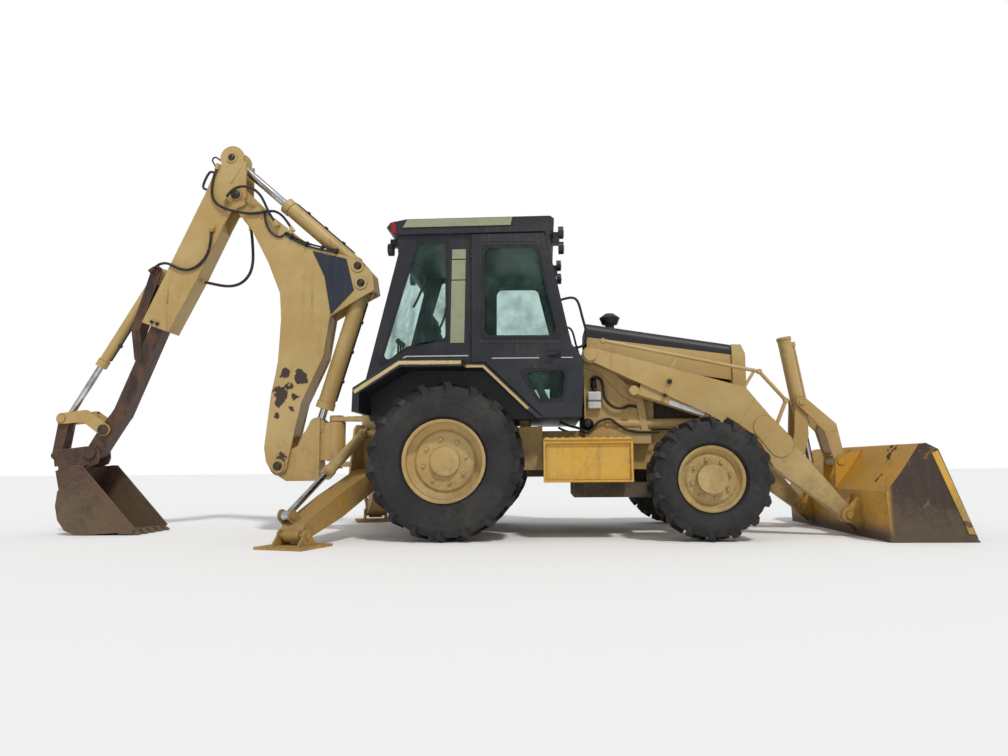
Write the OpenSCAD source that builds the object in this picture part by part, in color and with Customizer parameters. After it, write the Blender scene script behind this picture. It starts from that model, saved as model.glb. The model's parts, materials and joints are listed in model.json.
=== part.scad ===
// Backhoe loader: tractor with cab, front loader, side-shift-free backhoe with an extendible stick
// Millimetres. +X forward, +Y machine's left, +Z up, ground at z 0.
// Side outlines are pairs [x, z] from the rear axle; the whole machine is shifted by axle_x at the end.

/* [Stance] */
// Shift that centres the machine's length on x 0
axle_x = -70; // [-200:5:200]
// Rear axle to front axle
wheelbase = 2100; // [2000:10:2250]
// Angle of the loader arms at rest, lowered until the bucket lies on the ground
arm_rest = 33.1; // [30:0.1:36]

/* [Rear wheels] */
// Radius out to the lug tips
rear_r = 640; // [610:1:660]
// Width of the rear tyre
rear_w = 480; // [400:5:500]
// Half of the rear track
rear_y = 866; // [850:1:900]
// Radius of the rim flange
rear_rim_r = 330; // [310:1:345]
// How far the wheel disc sits inside the outer flange
rear_dish = 150; // [120:5:180]
// Lugs in each row of a rear tyre
rear_lugs = 18; // [14:1:26]
// Depth of the lugs
lug_deep = 34; // [20:1:40]
// Angle at which the lugs slant
lug_slant = 26; // [15:1:35]

/* [Front wheels] */
// Radius out to the lug tips
front_r = 485; // [460:1:495]
// Width of the front tyre
front_w = 318; // [280:2:330]
// Half of the front track
front_y = 950; // [945:1:980]
// Radius of the rim flange
front_rim_r = 254; // [245:1:262]
// Lugs in each row of a front tyre
front_lugs = 16; // [14:1:24]
// Kingpin distance from the middle of the machine
kingpin_y = 790; // [780:1:800]

/* [Chassis] */
// Thickness of the frame rails
rail_t = 50; // [30:2:60]
// Outer face of the frame rails
rail_y = 380; // [360:2:390]
// Lower edge of the rails
rail_lo = 560; // [540:5:600]
// Upper edge of the rails
rail_hi = 900; // [860:5:920]
// Diameter of the side tubes
side_tube_d = 88; // [60:2:90]
// Lashing eyes ahead of the rails: how far forward, and from the middle
tie_eye = [2610, 355];
// Radius of the lashing eye
tie_eye_r = 20; // [16:1:24]
// Radius of the swing pin's boss
swing_boss_r = 85; // [70:1:95]

/* [Hood] */
// Half width of the hood
hood_y = 400; // [380:5:420]
// Hood top at the cab
hood_top_rear = 1860; // [1800:5:1900]
// Hood top at the grille
hood_top_front = 1650; // [1600:5:1700]
// Sheet thickness of the hood
hood_t = 8; // [5:1:12]
// Number of grille bars
grille_bars = 12; // [6:1:18]

/* [Cab] */
// Half width of the cab
cab_y = 750; // [720:5:760]
// Thickness of the cab's walls and posts
cab_t = 30; // [22:1:40]
// Roof line where the walls end
roof_z = 2592; // [2540:4:2640]
// Thickness of the roof cap
roof_h = 134; // [100:2:150]
// Thickness of a door
door_t = 40; // [30:1:44]
// Thickness of the window glass
glass_t = 6; // [5:1:8]

/* [Loader] */
// Pivot of the arms on the tower
arm_pivot = [1205, 1539];
// Pin to pin length of the arms
arm_len = 2492; // [2440:4:2520]
// Width of one arm
arm_w = 130; // [120:1:140]
// Middle of an arm from the middle of the machine
arm_y = 570; // [566:1:576]
// Plate thickness of the arms
arm_t = 12; // [8:1:14]
// Radius of the cross tube between the arms
cross_r = 88; // [75:1:95]
// Base pin of the lift cylinders
lift_base = [1570, 1225];
// Rod pin of the lift cylinders, along and above the arm's line
lift_on_arm = [1205, 120];
// Lift cylinder barrel radius
lift_r = 42; // [36:1:44]
// Lift cylinder rod radius
lift_rod_r = 24; // [18:1:28]
// Width of the loader bucket
bucket_w = 2300; // [2200:10:2400]
// Plate thickness of the loader bucket
bucket_t = 16; // [12:1:22]

/* [Bucket tilt linkage] */
// Lever pivot, along and above the arm's line
lever_on_arm = [2057, 249];
// Rod pin of the tilt cylinder, along and above the arm's line
rod_on_arm = [2250, 258];
// Upper pin of the bucket from its hinge
bucket_pin = [143, 439];
// Length of the lever
lever_len = 532; // [520:1:545]
// Length of the link
link_len = 616; // [605:1:630]
// Tilt cylinder barrel radius
tilt_r = 60; // [50:1:66]
// Tilt cylinder rod radius
tilt_rod_r = 30; // [24:1:36]

/* [Backhoe] */
// Swing pin behind the rear axle
swing_x = -1160; // [-1200:5:-1130]
// Boom foot pin
boom_foot = [-1670, 614];
// Pin between boom and stick
stick_pin = [-2164, 3243];
// Half width of the boom
boom_y = 130; // [124:1:140]
// Plate thickness of the boom
boom_t = 22; // [16:1:24]
// Half width of the stick
stick_y = 106; // [102:1:110]
// Plate thickness of the stick
stick_t = 20; // [14:1:22]
// Boom cylinder pins, on the boom and on the swing casting
boom_cyl = [[-914, 2333], [-1328, 990]];
// Stick cylinder pins, on the boom and on the stick
stick_cyl = [[-945, 2500], [-2215, 3622]];
// Boom cylinder barrel radius
boom_cyl_r = 80; // [70:1:86]
// Stick cylinder barrel radius
stick_cyl_r = 72; // [60:1:78]
// Radius of the rods of both
hoe_rod_r = 38; // [30:1:45]

/* [Extension and bucket] */
// Direction in which the stick extends
ext_dir = -112; // [-114:0.5:-110]
// A point on the middle line of the extension
ext_mid = [-2925, 1920];
// Depth of the extension
ext_d = 130; // [120:2:134]
// Half width of the extension
ext_y = 72; // [66:1:76]
// Bucket hinge
hoe_hinge = [-3488, 755];
// Rocker pin on the extension
rocker_pin = [-3377, 970];
// Joint of rocker, link and cylinder
knee_pin = [-3796, 1083];
// Link pin on the bucket, from the bucket hinge
hoe_link_pin = [-359, -24];
// Bucket cylinder base pin
hoe_cyl_base = [-2943, 2510];
// Bucket cylinder barrel radius
hoe_cyl_r = 54; // [46:1:58]
// Half width of the backhoe bucket
hoe_bucket_y = 300; // [240:5:380]
// Number of teeth
teeth = 5; // [3:1:6]

/* [Stabilisers] */
// Leg pivot: behind the rear axle, from the middle, height
stab_pivot = [-770, 400, 500];
// Angle by which a leg splays to the rear
stab_splay = 18; // [12:1:22]
// Pad pin, outwards from the pivot and above the ground
pad_pin = [1030, 90];
// Rod pin on the leg, outwards and above the ground
stab_rod_pin = [1040, 240];
// Base pin of the cylinder, outwards and above the ground
stab_base_pin = [-50, 900];
// Cylinder plane behind the leg's middle
stab_off = 60; // [55:1:64]
// Half width of a leg
leg_y = 100; // [90:2:102]
// Half length of a pad
pad_half = 210; // [180:5:225]

/* [Hidden] */
$fn = 48;
paint = [0.72, 0.60, 0.36];
sunny = [0.78, 0.60, 0.22];
dark = [0.10, 0.11, 0.14];
olive = [0.55, 0.56, 0.42];
rust = [0.30, 0.20, 0.15];
bare = [0.55, 0.56, 0.58];
rubber = [0.05, 0.05, 0.05];
clear = [0.35, 0.50, 0.45, 0.5];
// How far a rim's face lies inside its tyre's width
rim_inset = 36;
// Cab floor, top side
floor_z = 994 + cab_t;
// Gap left between pieces that move past each other
run = 6;
// Gap between a rod and its barrel, and between a pin and its eye
slip = 0.6;

// Geometry of points in the side view
function turn(p, a) = [p[0]*cos(a) - p[1]*sin(a), p[0]*sin(a) + p[1]*cos(a)];
function about(p, c, a) = c + turn(p - c, a);
function heading(a, b) = atan2(b[1] - a[1], b[0] - a[0]);
function meet(c0, r0, c1, r1, s) =
    let(d = norm(c1 - c0), a = (r0*r0 - r1*r1 + d*d)/(2*d), h = sqrt(max(0, r0*r0 - a*a)), u = (c1 - c0)/d)
    c0 + a*u + s*h*[-u[1], u[0]];
function ray(p, a, d) = p + d*[cos(a), sin(a)];
// A point given along and across the stick's extension
function in_ext(q) = ext_mid + turn(q, ext_dir);

// A side outline made into a plate, w wide, centred on y
module plate(pts, w, y = 0)
    translate([0, y, 0]) rotate([90, 0, 0]) linear_extrude(w, center = true) polygon(pts);
module side(w, y = 0)
    translate([0, y, 0]) rotate([90, 0, 0]) linear_extrude(w, center = true) children();
// A round pin across the machine
module pin(p, r, w, y = 0)
    translate([p[0], y, p[1]]) rotate([90, 0, 0]) cylinder(r = r, h = w, center = true);
// Local frame whose X runs along the angle a in the side view
module at(p, a = 0, y = 0) translate([p[0], y, p[1]]) rotate([0, -a, 0]) children();
module both(y) for (s = [-1, 1]) translate([0, s*y, 0]) children();
module mirrored() { children(); mirror([0, 1, 0]) children(); }
// Outline of a bar with round ends
module bar2(a, ra, b, rb) {
    d = norm(b - a);
    t = heading(a, b);
    f = acos((ra - rb)/d);
    translate(a) circle(r = ra);
    translate(b) circle(r = rb);
    polygon([ray(a, t + f, ra), ray(b, t + f, rb), ray(b, t - f, rb), ray(a, t - f, ra)]);
}
// Cylinder barrel along X from its eye at the origin to its gland at len
module barrel(len, r, rod_r, eye_r, eye_w, pin_r, start) difference() {
    union() {
        rotate([90, 0, 0]) cylinder(r = eye_r, h = eye_w, center = true);
        translate([0, -min(eye_w, 1.6*r)/2, -eye_r*0.8]) cube([start + 10, min(eye_w, 1.6*r), eye_r*1.6]);
        translate([start, 0, 0]) rotate([0, 90, 0]) cylinder(r = r, h = len - start);
        translate([len - 70, 0, 0]) rotate([0, 90, 0]) cylinder(r = r + 8, h = 70);
        translate([start, 0, 0]) rotate([0, 90, 0]) cylinder(r = r + 5, h = 30);
    }
    rotate([90, 0, 0]) cylinder(r = pin_r + slip, h = eye_w + 2, center = true);
    translate([start + 30, 0, 0]) rotate([0, 90, 0]) cylinder(r = rod_r + slip, h = len);
}
// Rod along X, its eye at len, its tail hidden in the barrel at tail
module rod(tail, len, r, eye_r, eye_w, hole = 0) difference() {
    union() {
        translate([tail, 0, 0]) rotate([0, 90, 0]) cylinder(r = r, h = len - tail);
        translate([len, 0, 0]) rotate([90, 0, 0]) cylinder(r = eye_r, h = eye_w, center = true);
    }
    if (hole > 0) translate([len, 0, 0]) rotate([90, 0, 0]) cylinder(r = hole + slip, h = eye_w + 2, center = true);
}

// Loader points at rest
arm_b = ray(arm_pivot, -arm_rest, arm_len);
function on_arm(p) = arm_pivot + turn(p, -arm_rest);
lift_top = on_arm(lift_on_arm);
lever_v = on_arm(lever_on_arm);
rod_w = on_arm(rod_on_arm);
link_u = arm_b + bucket_pin;
lever_p = meet(lever_v, lever_len, link_u, link_len, 1);
lift_dir = heading(lift_base, lift_top);
lift_l = norm(lift_top - lift_base);
tilt_dir = heading(lever_p, rod_w);
tilt_l = norm(rod_w - lever_p);
// Height of the bucket's underside below its hinge, so that it lies on the ground
bucket_drop = arm_b[1];

// Backhoe points at rest
boom_cyl_dir = heading(boom_cyl[0], boom_cyl[1]);
boom_cyl_l = norm(boom_cyl[1] - boom_cyl[0]);
stick_cyl_dir = heading(stick_cyl[0], stick_cyl[1]);
stick_cyl_l = norm(stick_cyl[1] - stick_cyl[0]);
hoe_cyl_dir = heading(hoe_cyl_base, knee_pin);
hoe_cyl_l = norm(knee_pin - hoe_cyl_base);
hoe_u = hoe_hinge + hoe_link_pin;

// Stabiliser, in its own plane: X outwards, Y forward, Z up
stab_a = [0, stab_pivot[2]];
stab_dir = heading(stab_base_pin, stab_rod_pin);
stab_l = norm(stab_rod_pin - stab_base_pin);
stab_lug_in = leg_y + run + 8;
stab_lug_t = 20;
module stab_place() translate([stab_pivot[0], -stab_pivot[1], 0]) rotate([0, 0, -90 - stab_splay]) children();

// Diameters and routes of the hoses between boom, stick and bucket cylinder
loop_d = 28;
hose_d = 25;
loop_route = [[-2044, 0, 2915], [-2034, 0, 2845], [-2026, 0, 2770], [-2020, 0, 2695], [-2018, 0, 2620], [-2026, 0, 2545],
    [-2050, 0, 2475], [-2096, 0, 2415], [-2160, 0, 2376], [-2235, 0, 2362], [-2310, 0, 2367], [-2384, 0, 2382],
    [-2440, 0, 2395], [-2490, 0, 2407]];
pivot_route = [[-2362, -122, 3500], [-2384, -122, 3430], [-2396, -122, 3357], [-2398, -123, 3282], [-2383, -126, 3210],
    [-2340, -130, 3150], [-2278, -135, 3108], [-2208, -141, 3080], [-2134, -147, 3058], [-2060, -150, 3043],
    [-1985, -150, 3036], [-1910, -150, 3041], [-1836, -150, 3052], [-1762, -144, 3053], [-1700, -130, 3020],
    [-1652, -118, 2963], [-1612, -118, 2905]];
arch_route = [[-2225, -178, 3200], [-2178, -178, 3258], [-2115, -178, 3292], [-2042, -178, 3296], [-1966, -178, 3270],
    [-1903, -178, 3216], [-1860, -178, 3148], [-1826, -178, 3076], [-1790, -178, 3007], [-1750, -178, 2945]];
stick_route = [[-2386, -124, 2870], [-2392, -124, 2795], [-2402, -124, 2720], [-2424, -124, 2648], [-2466, -124, 2582],
    [-2525, -124, 2530], [-2597, -124, 2503], [-2673, -124, 2508], [-2745, -122, 2538], [-2815, -118, 2570],
    [-2888, -112, 2568], [-2945, -112, 2530]];
// Direction of a route at its point i, and a ring of the hose there
function run_dir(p, i) = let(v = p[min(i + 1, len(p) - 1)] - p[max(i - 1, 0)]) v/norm(v);
function ring(p, i, r) = let(t = run_dir(p, i), c = cross(t, [0, 1, 0]), u = c/norm(c), v = cross(t, u))
    [for (k = [0:7]) p[i] + r*(cos(45*k)*u + sin(45*k)*v)];
module hose(p, d) {
    n = len(p);
    polyhedron([for (i = [0:n - 1]) each ring(p, i, d/2)], concat([[for (k = [0:7]) k]], [[for (k = [7:-1:0]) 8*(n - 1) + k]],
        [for (i = [0:n - 2]) for (k = [0:7]) [8*i + k, 8*(i + 1) + k, 8*(i + 1) + (k + 1)%8]],
        [for (i = [0:n - 2]) for (k = [0:7]) [8*i + k, 8*(i + 1) + (k + 1)%8, 8*i + (k + 1)%8]]));
}
// Fitting that a hose leaves at p towards q, with a foot across to the plate at foot_y
module gland(p, q, r, foot_y) at([p[0], p[2]], heading([p[0], p[2]], [q[0], q[2]]) + 180, p[1]) {
    translate([0.3, 0, 0]) rotate([0, 90, 0]) cylinder(r = r, h = 60);
    translate([14, min(0, foot_y - p[1]), -r]) cube([40, abs(foot_y - p[1]), 2*r]);
}

// Outlines in the side view
arm_rear_out = [[-8, 66], [1244, 457], [1300, 440], [1360, 420], [1360, 160], [1250, 160],
    [1245, 72], [1190, 74], [1120, 100], [67, -41], [0, -60]];
arm_front_out = [[1300, 440], [1922, 237], [2387, 86], [2470, 66], [2470, -62], [2426, -42],
    [1885, -7], [1790, 8], [1700, 60], [1600, 118], [1500, 152], [1360, 162], [1290, 162]];
cab_out = [[-735, 1235], [-438, 2423], [-445, roof_z], [838, roof_z], [1045, 1606], [1143, 1478], [1116, 994],
    [787, 994], [696, 1082], [307, 1457], [-362, 1468]];
tub_out = [[-735, 1100], [-700, 994], [787, 994], [696, 1082], [307, 1457], [-362, 1468], [-735, 1240]];
door_out = [[206, 2570], [822, 2570], [842, 2480], [1045, 1606], [1143, 1478], [1116, 998], [800, 998], [709, 1086],
    [318, 1466], [206, 1466]];
side_window = [[-265, 2540], [-14, 2540], [-14, 1675], [-355, 1604], [-592, 1446]];
door_window = [[303, 2466], [764, 2459], [951, 1667], [296, 1678]];
door_low_window = [[608, 1393], [1000, 1404], [971, 1145], [763, 1131]];
fender_top = [[-741, 1041], [-735, 1235], [-362, 1468], [307, 1457], [696, 1082], [787, 994]];
fender_low = [[740, 994], [663, 1058], [293, 1415], [-347, 1426], [-695, 1210], [-699, 1041]];
boom_left = [[-2073, 3020], [-1964, 2838], [-1818, 2558], [-1694, 2252], [-1677, 2000], [-1696, 1608], [-1721, 1447],
    [-1755, 1287], [-1807, 782], [-1785, 652], [-1750, 590]];
boom_right = [[-1590, 590], [-1560, 760], [-1466, 1198], [-1266, 1629], [-1206, 2020]];

// Frame

module main_frame() color(paint) {
    for (s = [-1, 1]) {
        plate([[-600, rail_lo], [2450, rail_lo], [2450, rail_hi], [-600, rail_hi]], rail_t, s*(rail_y - rail_t/2));
        // Outriggers for the steps
        for (x = [650, 900, 1380])
            translate([x, min(s*rail_y, s*562), 600]) cube([70, 562 - rail_y, 90]);
        plate([[584, rail_lo], [787, rail_lo], [787, 932], [584, 932]], 20, s*552);
        // Side tubes under the hood
        translate([1330, s*452, 950]) rotate([0, 90, 0]) cylinder(d = side_tube_d, h = 820);
        for (x = [1400, 1980]) {
            translate([x, s < 0 ? -470 : rail_y - 4, 850]) cube([60, 470 - rail_y + 4, 48]);
            translate([x, s < 0 ? -470 : 410, 850]) cube([60, 60, 70]);
        }
        // Mounts under the cab floor
        for (x = [-480, 590]) translate([x, s*(rail_y - rail_t/2) - 30, rail_hi - 2]) cube([80, 60, 996 - rail_hi]);
        // Tower casting and its pivot boss
        tower(s);
    }
    // Cross members
    for (x = [2385, 560, -320]) translate([x, -rail_y + rail_t - 1, rail_hi - 170]) cube([60, 2*(rail_y - rail_t) + 2, 150]);
    rear_frame();
}

module tower(s) {
    difference() {
        union() {
            plate([[1152, 780], [1720, 780], [1660, 1160], [1620, 1290], [1530, 1290], [1330, 1480], [1280, 1590],
                [1205, 1625], [1150, 1590], [1152, 1500]], 70, s*460);
            pin(arm_pivot, 72, 70, s*460);
            pin(lift_base, 62, 70, s*460);
            // Foot that joins the casting to the rail
            translate([1152, s < 0 ? -495 : rail_y - 2, 780]) cube([568, 495 - rail_y + 2, 118]);
            // Pins that carry the arms and the lift cylinders
            pin(arm_pivot, 45, 160, s*arm_y);
            pin(lift_base, 28, 150, s*(arm_y - 5));
        }
        // Weight-saving recess in the outer face
        plate([[1170, 900], [1640, 900], [1600, 1130], [1480, 1190], [1300, 1390], [1170, 1440]], 30, s*495);
    }
    // Cap on the end of the arm pin
    pin(arm_pivot, 56, 14, s*(arm_y + arm_w/2 + 13));
    pin(lift_base, 40, 8, s*(arm_y + 72));
}

// Box behind the rear axle that carries the swing pin and the stabilisers
module rear_frame() {
    difference() {
        union() {
            translate([-860, -240, 450]) cube([118, 480, 640]);
            translate([-745, -240, 450]) cube([180, 480, 536]);
            translate([-595, -rail_y + 2, rail_lo]) cube([60, 2*rail_y - 4, 200]);
            // Tongues above and below the swing casting's hub
            for (z = [600, 1030]) translate([0, 0, z]) linear_extrude(z < 1000 ? 50 : 40) {
                translate([swing_x, 0]) circle(r = 66);
                polygon([[-840, -200], [-840, 200], [-985, 100], [-1070, 66], [swing_x, 66], [swing_x, -66], [-1070, -66], [-985, -100]]);
            }
        }
        translate([swing_x, 0, 590]) cylinder(r = 45 + slip, h = 510);
    }
    mirrored() intersection() {
        stab_place() for (s = [-1, 1]) translate([0, s*(stab_lug_in + stab_lug_t/2), 0])
            stab_lug();
        translate([-1200, -900, 400]) cube([1200, 900, 900]);
    }
    // Pins of the legs and of their cylinders
    mirrored() stab_place() {
        pin([0, stab_pivot[2]], 35, 2*stab_lug_in + 2*stab_lug_t + 16);
        pin(stab_base_pin, 28, 2*stab_lug_in + 2*stab_lug_t + 16);
    }
}
module stab_lug() side(stab_lug_t) difference() {
    union() {
        bar2(stab_a, 90, stab_base_pin + [0, 0], 75);
        polygon([[-300, 450], [0, 412], [-20, 975], [-300, 980]]);
    }
}

module engine_and_drive() color(dark) {
    // Engine block
    translate([1390, -rail_y + rail_t, 700]) cube([890, 2*(rail_y - rail_t), 760]);
    // Transmission between the rails
    translate([640, -rail_y + rail_t, 500]) cube([760, 2*(rail_y - rail_t), 380]);
    // Guard and tank beneath
    translate([1051, -500, 324]) cube([643, 1000, 123]);
    for (x = [1100, 1300]) translate([x, -200, 440]) cube([80, 400, 70]);
    // Shafts to both axles
    translate([200, 0, rear_r]) rotate([0, 90, 0]) cylinder(r = 45, h = 450);
    translate([1390, 0, 600]) rotate([0, 98, 0]) cylinder(r = 32, h = 566);
}

module rear_axle() color(paint) difference() {
    union() {
        translate([0, 0, rear_r]) rotate([90, 0, 0]) {
            cylinder(r = 105, h = 2*700, center = true);
            cylinder(r = 150, h = 2*620, center = true);
            cylinder(r = 62, h = 2*(rear_y + rear_w/2 - rear_dish), center = true);
            cylinder(r = 150, h = 2*(rear_y + rear_w/2 - rear_dish - rim_inset + 9), center = true);
        }
        translate([0, 0, rear_r]) sphere(r = 200);
        for (s = [-1, 1]) translate([-110, s*(rail_y - rail_t/2) - rail_t/2 - 10, rear_r - 60])
            cube([220, rail_t + 20, 200]);
    }
    // Seats of the rails on the housing
    for (s = [-1, 1]) plate([[-400, rail_lo], [400, rail_lo], [400, rail_hi], [-400, rail_hi]], rail_t,
        s*(rail_y - rail_t/2));
}

module front_axle() color(paint) {
    difference() {
        union() {
            translate([wheelbase, 0, front_r]) rotate([90, 0, 0]) cylinder(r = 72, h = 2*(kingpin_y - 95), center = true);
            translate([wheelbase, 0, front_r]) sphere(r = 140);
            // Bolster up to the frame
            translate([wheelbase - 90, -90, front_r]) cube([180, 180, rail_lo + 40 - front_r]);
            translate([wheelbase - 110, -rail_y + rail_t, rail_lo]) cube([220, 2*(rail_y - rail_t), 90]);
            // Forks around the knuckles
            for (s = [-1, 1]) {
                translate([wheelbase - 60, s*(kingpin_y - 80) - 45, front_r - 150]) cube([120, 90, 300]);
                for (z = [-150, 122]) translate([wheelbase, s*kingpin_y, front_r + z]) cylinder(r = 60, h = 28);
                for (z = [-150, 122]) translate([wheelbase - 60, s < 0 ? -kingpin_y : kingpin_y - 90, front_r + z])
                    cube([120, 90, 28]);
            }
            // Steering ram along the axle
            translate([wheelbase + 110, 0, front_r + 20]) rotate([90, 0, 0]) cylinder(r = 42, h = 520, center = true);
            for (s = [-1, 1]) translate([wheelbase + 40, s*200 - 20, front_r - 20]) cube([70, 40, 60]);
        }
        for (s = [-1, 1]) translate([wheelbase, s*kingpin_y, front_r]) {
            cylinder(r = 28 + slip, h = 330, center = true);
            cylinder(r = 101, h = 232, center = true);
        }
    }
}

module knuckle(s) color(paint) translate([wheelbase, s*kingpin_y, front_r]) {
    cylinder(r = 28, h = 312, center = true);
    cylinder(r = 95, h = 228, center = true);
    for (z = [-160, 150]) translate([0, 0, z]) cylinder(r = 42, h = 10);
    // Hub out to the wheel
    rotate([-90*s, 0, 0]) {
        cylinder(r = 88, h = 150);
        translate([0, 0, 118]) cylinder(r = 120, h = 100);
        translate([0, 0, 118]) cylinder(r = 62, h = front_y + front_w/2 - kingpin_y - 178);
    }
    // Steering arm
    translate([60, s < 0 ? -20 : -20, -30]) cube([110, 40, 50]);
}

// Wheels

module wheel_tyre(r, w, rim, n, wide) rotate([90, 0, 0]) {
    d = lug_deep;
    mid = rim + (r - rim)*0.45;
    seat = w/2 - rim_inset;
    reach = 0.22*w*sin(lug_slant) + wide/2;
    top = sqrt(r*r - reach*reach);
    difference() {
        union() {
            // Carcass with flat facets under the lugs
            hull() rotate_extrude($fn = 2*n)
                polygon([[0, -w/2], [mid, -w/2], [r - 96, -w*0.485], [r - d, -w*0.36], [r - d, w*0.36], [r - 96, w*0.485], [mid, w/2], [0, w/2]]);
            // Lugs in two slanting rows, half a step apart
            for (s = [-1, 1]) for (i = [0:n - 1]) rotate(i*360/n - 90 + (s > 0 ? 0 : 180/n)) translate([0, 0, s*0.25*w])
                rotate([s*lug_slant, 0, 0]) rotate([90, 0, 0]) linear_extrude(wide, center = true)
                    polygon([[top - d - 14, -s*0.245*w], [top, -s*0.235*w], [top, s*0.13*w], [top - 46, s*0.228*w],
                        [top - 92, s*0.232*w], [top - d - 14, s*0.08*w]]);
        }
        // Seat of the rim and the hollow of the sidewalls
        rotate_extrude($fn = 72) polygon([[0, -w], [mid, -w], [mid, -w/2], [rim + 30, -w*0.47], [rim + 7.5, -(seat - 14.6)],
            [rim - 16.6, -(seat - 23)], [rim - 16.6, seat - 23], [rim + 7.5, seat - 14.6], [rim + 30, w*0.47], [mid, w/2],
            [mid, w], [0, w]]);
    }
}

// Rim with its outer side at +y, disc sunk by dish
module wheel_rim(rim, w, dish, hub_r, ring_r, cap_r, cap_h) {
    face = w/2 - rim_inset;
    rotate([-90, 0, 0]) difference() {
        rotate_extrude($fn = 72) polygon([
            [rim + 6, face], [rim + 6, face - 14], [rim - 17, face - 22], [rim - 17, -face + 22], [rim + 6, -face + 14],
            [rim + 6, -face], [rim - 12, -face], [rim - 29, -face + 26], [rim - 29, face - dish*0.75],
            [ring_r + 6, face - dish - 4], [ring_r - 14, face - dish + 14], [hub_r, face - dish + 14],
            [hub_r, face - dish + 30], [ring_r - 6, face - dish + 30], [ring_r + 16, face - dish + 16],
            [rim - 22, face - dish*0.75 + 22], [rim - 22, face - 10], [rim - 8, face]]);
    }
    // Hub cap and nuts
    rotate([-90, 0, 0]) {
        translate([0, 0, face - dish + 30]) difference() {
            cylinder(r = cap_r, h = cap_h);
            translate([0, 0, -1]) cylinder(r = hub_r, h = cap_h*0.6);
        }
        for (a = [0:45:315]) rotate(a + 12) translate([(ring_r + cap_r)/2, 0, face - dish + 28]) cylinder(r = 15, h = 20, $fn = 6);
    }
}

module rear_tyre_r() color(rubber) translate([0, -rear_y, rear_r]) wheel_tyre(rear_r, rear_w, rear_rim_r, rear_lugs, 56);
module rear_tyre_l() color(rubber) translate([0, rear_y, rear_r]) wheel_tyre(rear_r, rear_w, rear_rim_r, rear_lugs, 56);
module rear_rim_right() color(paint) translate([0, -rear_y, rear_r]) rotate([0, 0, 180]) rear_rim();
module rear_rim_left() color(paint) translate([0, rear_y, rear_r]) rear_rim();
module rear_rim() wheel_rim(rear_rim_r, rear_w, rear_dish, 62 + slip, 240, 118, 34);
module front_tyre_r() color(rubber) translate([wheelbase, -front_y, front_r]) wheel_tyre(front_r, front_w, front_rim_r, front_lugs, 46);
module front_tyre_l() color(rubber) translate([wheelbase, front_y, front_r]) wheel_tyre(front_r, front_w, front_rim_r, front_lugs, 46);
module front_rim_right() color(paint) translate([wheelbase, -front_y, front_r]) rotate([0, 0, 180]) front_rim();
module front_rim_left() color(paint) translate([wheelbase, front_y, front_r]) front_rim();
module front_rim() wheel_rim(front_rim_r, front_w, 70, 62 + slip, 190, 115, 72);

// Body

module step_boxes() color(sunny) mirrored() {
    difference() {
        translate([793, -950, 462]) cube([720, 388, 357]);
        translate([813, -960, 482]) cube([680, 34, 290]);
        translate([813, -900, 482]) cube([680, 300, 290]);
    }
    // Serrated tread edge
    translate([800, -962, 800]) cube([706, 14, 19]);
    for (i = [0:10]) translate([812 + i*64, -962, 812]) cube([30, 14, 14]);
}

// Outer body of the hood: side outline crossed with a rounded section that follows the slope of the top
module hood_body(d) {
    a = atan((hood_top_rear - hood_top_front)/(2450 - 1190));
    intersection() {
        side(2*(hood_y - d)) offset_top(d);
        translate([1190, 0, hood_top_rear]) rotate([0, 90 + a, 0]) translate([0, 0, -200])
            linear_extrude(1700) hood_section(d);
    }
}
// Section seen along the hood, its top edge on x 0
module hood_section(d) {
    r = 70;
    translate([d + r, -hood_y + d]) square([1200, 2*(hood_y - d)]);
    translate([d, -hood_y + d + r]) square([1200, 2*(hood_y - d - r)]);
    for (s = [-1, 1]) translate([d + r, s*(hood_y - d - r)]) circle(r = r);
}
module offset_top(d) polygon([[1190 + d, rail_hi + 2], [2450 - d, rail_hi + 2], [2450 - d, hood_top_front - d],
    [1190 + d, hood_top_rear - d]]);
module hood() color(dark) {
    hood_shell();
    intake();
}
module hood_shell() difference() {
    hood_body(0);
    translate([0, 0, -hood_t]) hood_body(hood_t);
    // Lower sides are open to the engine in front of the tower
    plate([[1760, rail_hi - 10], [2440, rail_hi - 10], [2440, 1330], [1760, 1440]], 900);
    translate([1180, -hood_y + 30, rail_hi]) cube([30, 2*hood_y - 60, 850]);
    translate([2430, -hood_y + 30, rail_hi]) cube([30, 2*hood_y - 60, 650]);
}
module intake() difference() { intake_body(); hood_body(hood_t/2); }
module intake_body() translate([1421, -120, 0]) {
    translate([0, 0, 1700]) cylinder(r = 42, h = 200);
    translate([0, 0, 1890]) cylinder(r1 = 70, r2 = 95, h = 60, $fn = 48);
    translate([0, 0, 1950]) cylinder(r1 = 95, r2 = 40, h = 40, $fn = 48);
}
module grille() color(paint) {
    difference() {
        plate([[2450, rail_lo], [2565, rail_lo + 30], [2565, 1560], [2530, 1637], [2450, 1640]], 2*420);
        translate([2440, -350, 700]) cube([160, 700, 860]);
    }
    for (i = [0:grille_bars - 1]) translate([2530, -352, 730 + i*800/(grille_bars - 1)]) cube([20, 704, 16]);
    translate([2452, -352, 698]) cube([40, 704, 864]);
}

module fenders() color(dark) mirrored() {
    // Inner strip under the cab's side, and flange below the door
    difference() {
        plate(concat(fender_top, fender_low), 200, -700);
        translate([-800, -610, 900]) cube([1700, 30, 700]);
    }
    // Wide zone over the tyre
    intersection() {
        plate(concat(fender_top, fender_low), 290, -939);
        translate([-760, -1090, 1000]) cube([910, 300, 520]);
    }
    // Lip
    intersection() {
        plate([[-741, 1041], [-735, 1235], [-362, 1468], [307, 1457], [293, 1395], [-347, 1400], [-680, 1195], [-684, 1041]],
            14, -1080);
        translate([-760, -1095, 1000]) cube([910, 40, 520]);
    }
}

// Cab

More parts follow.
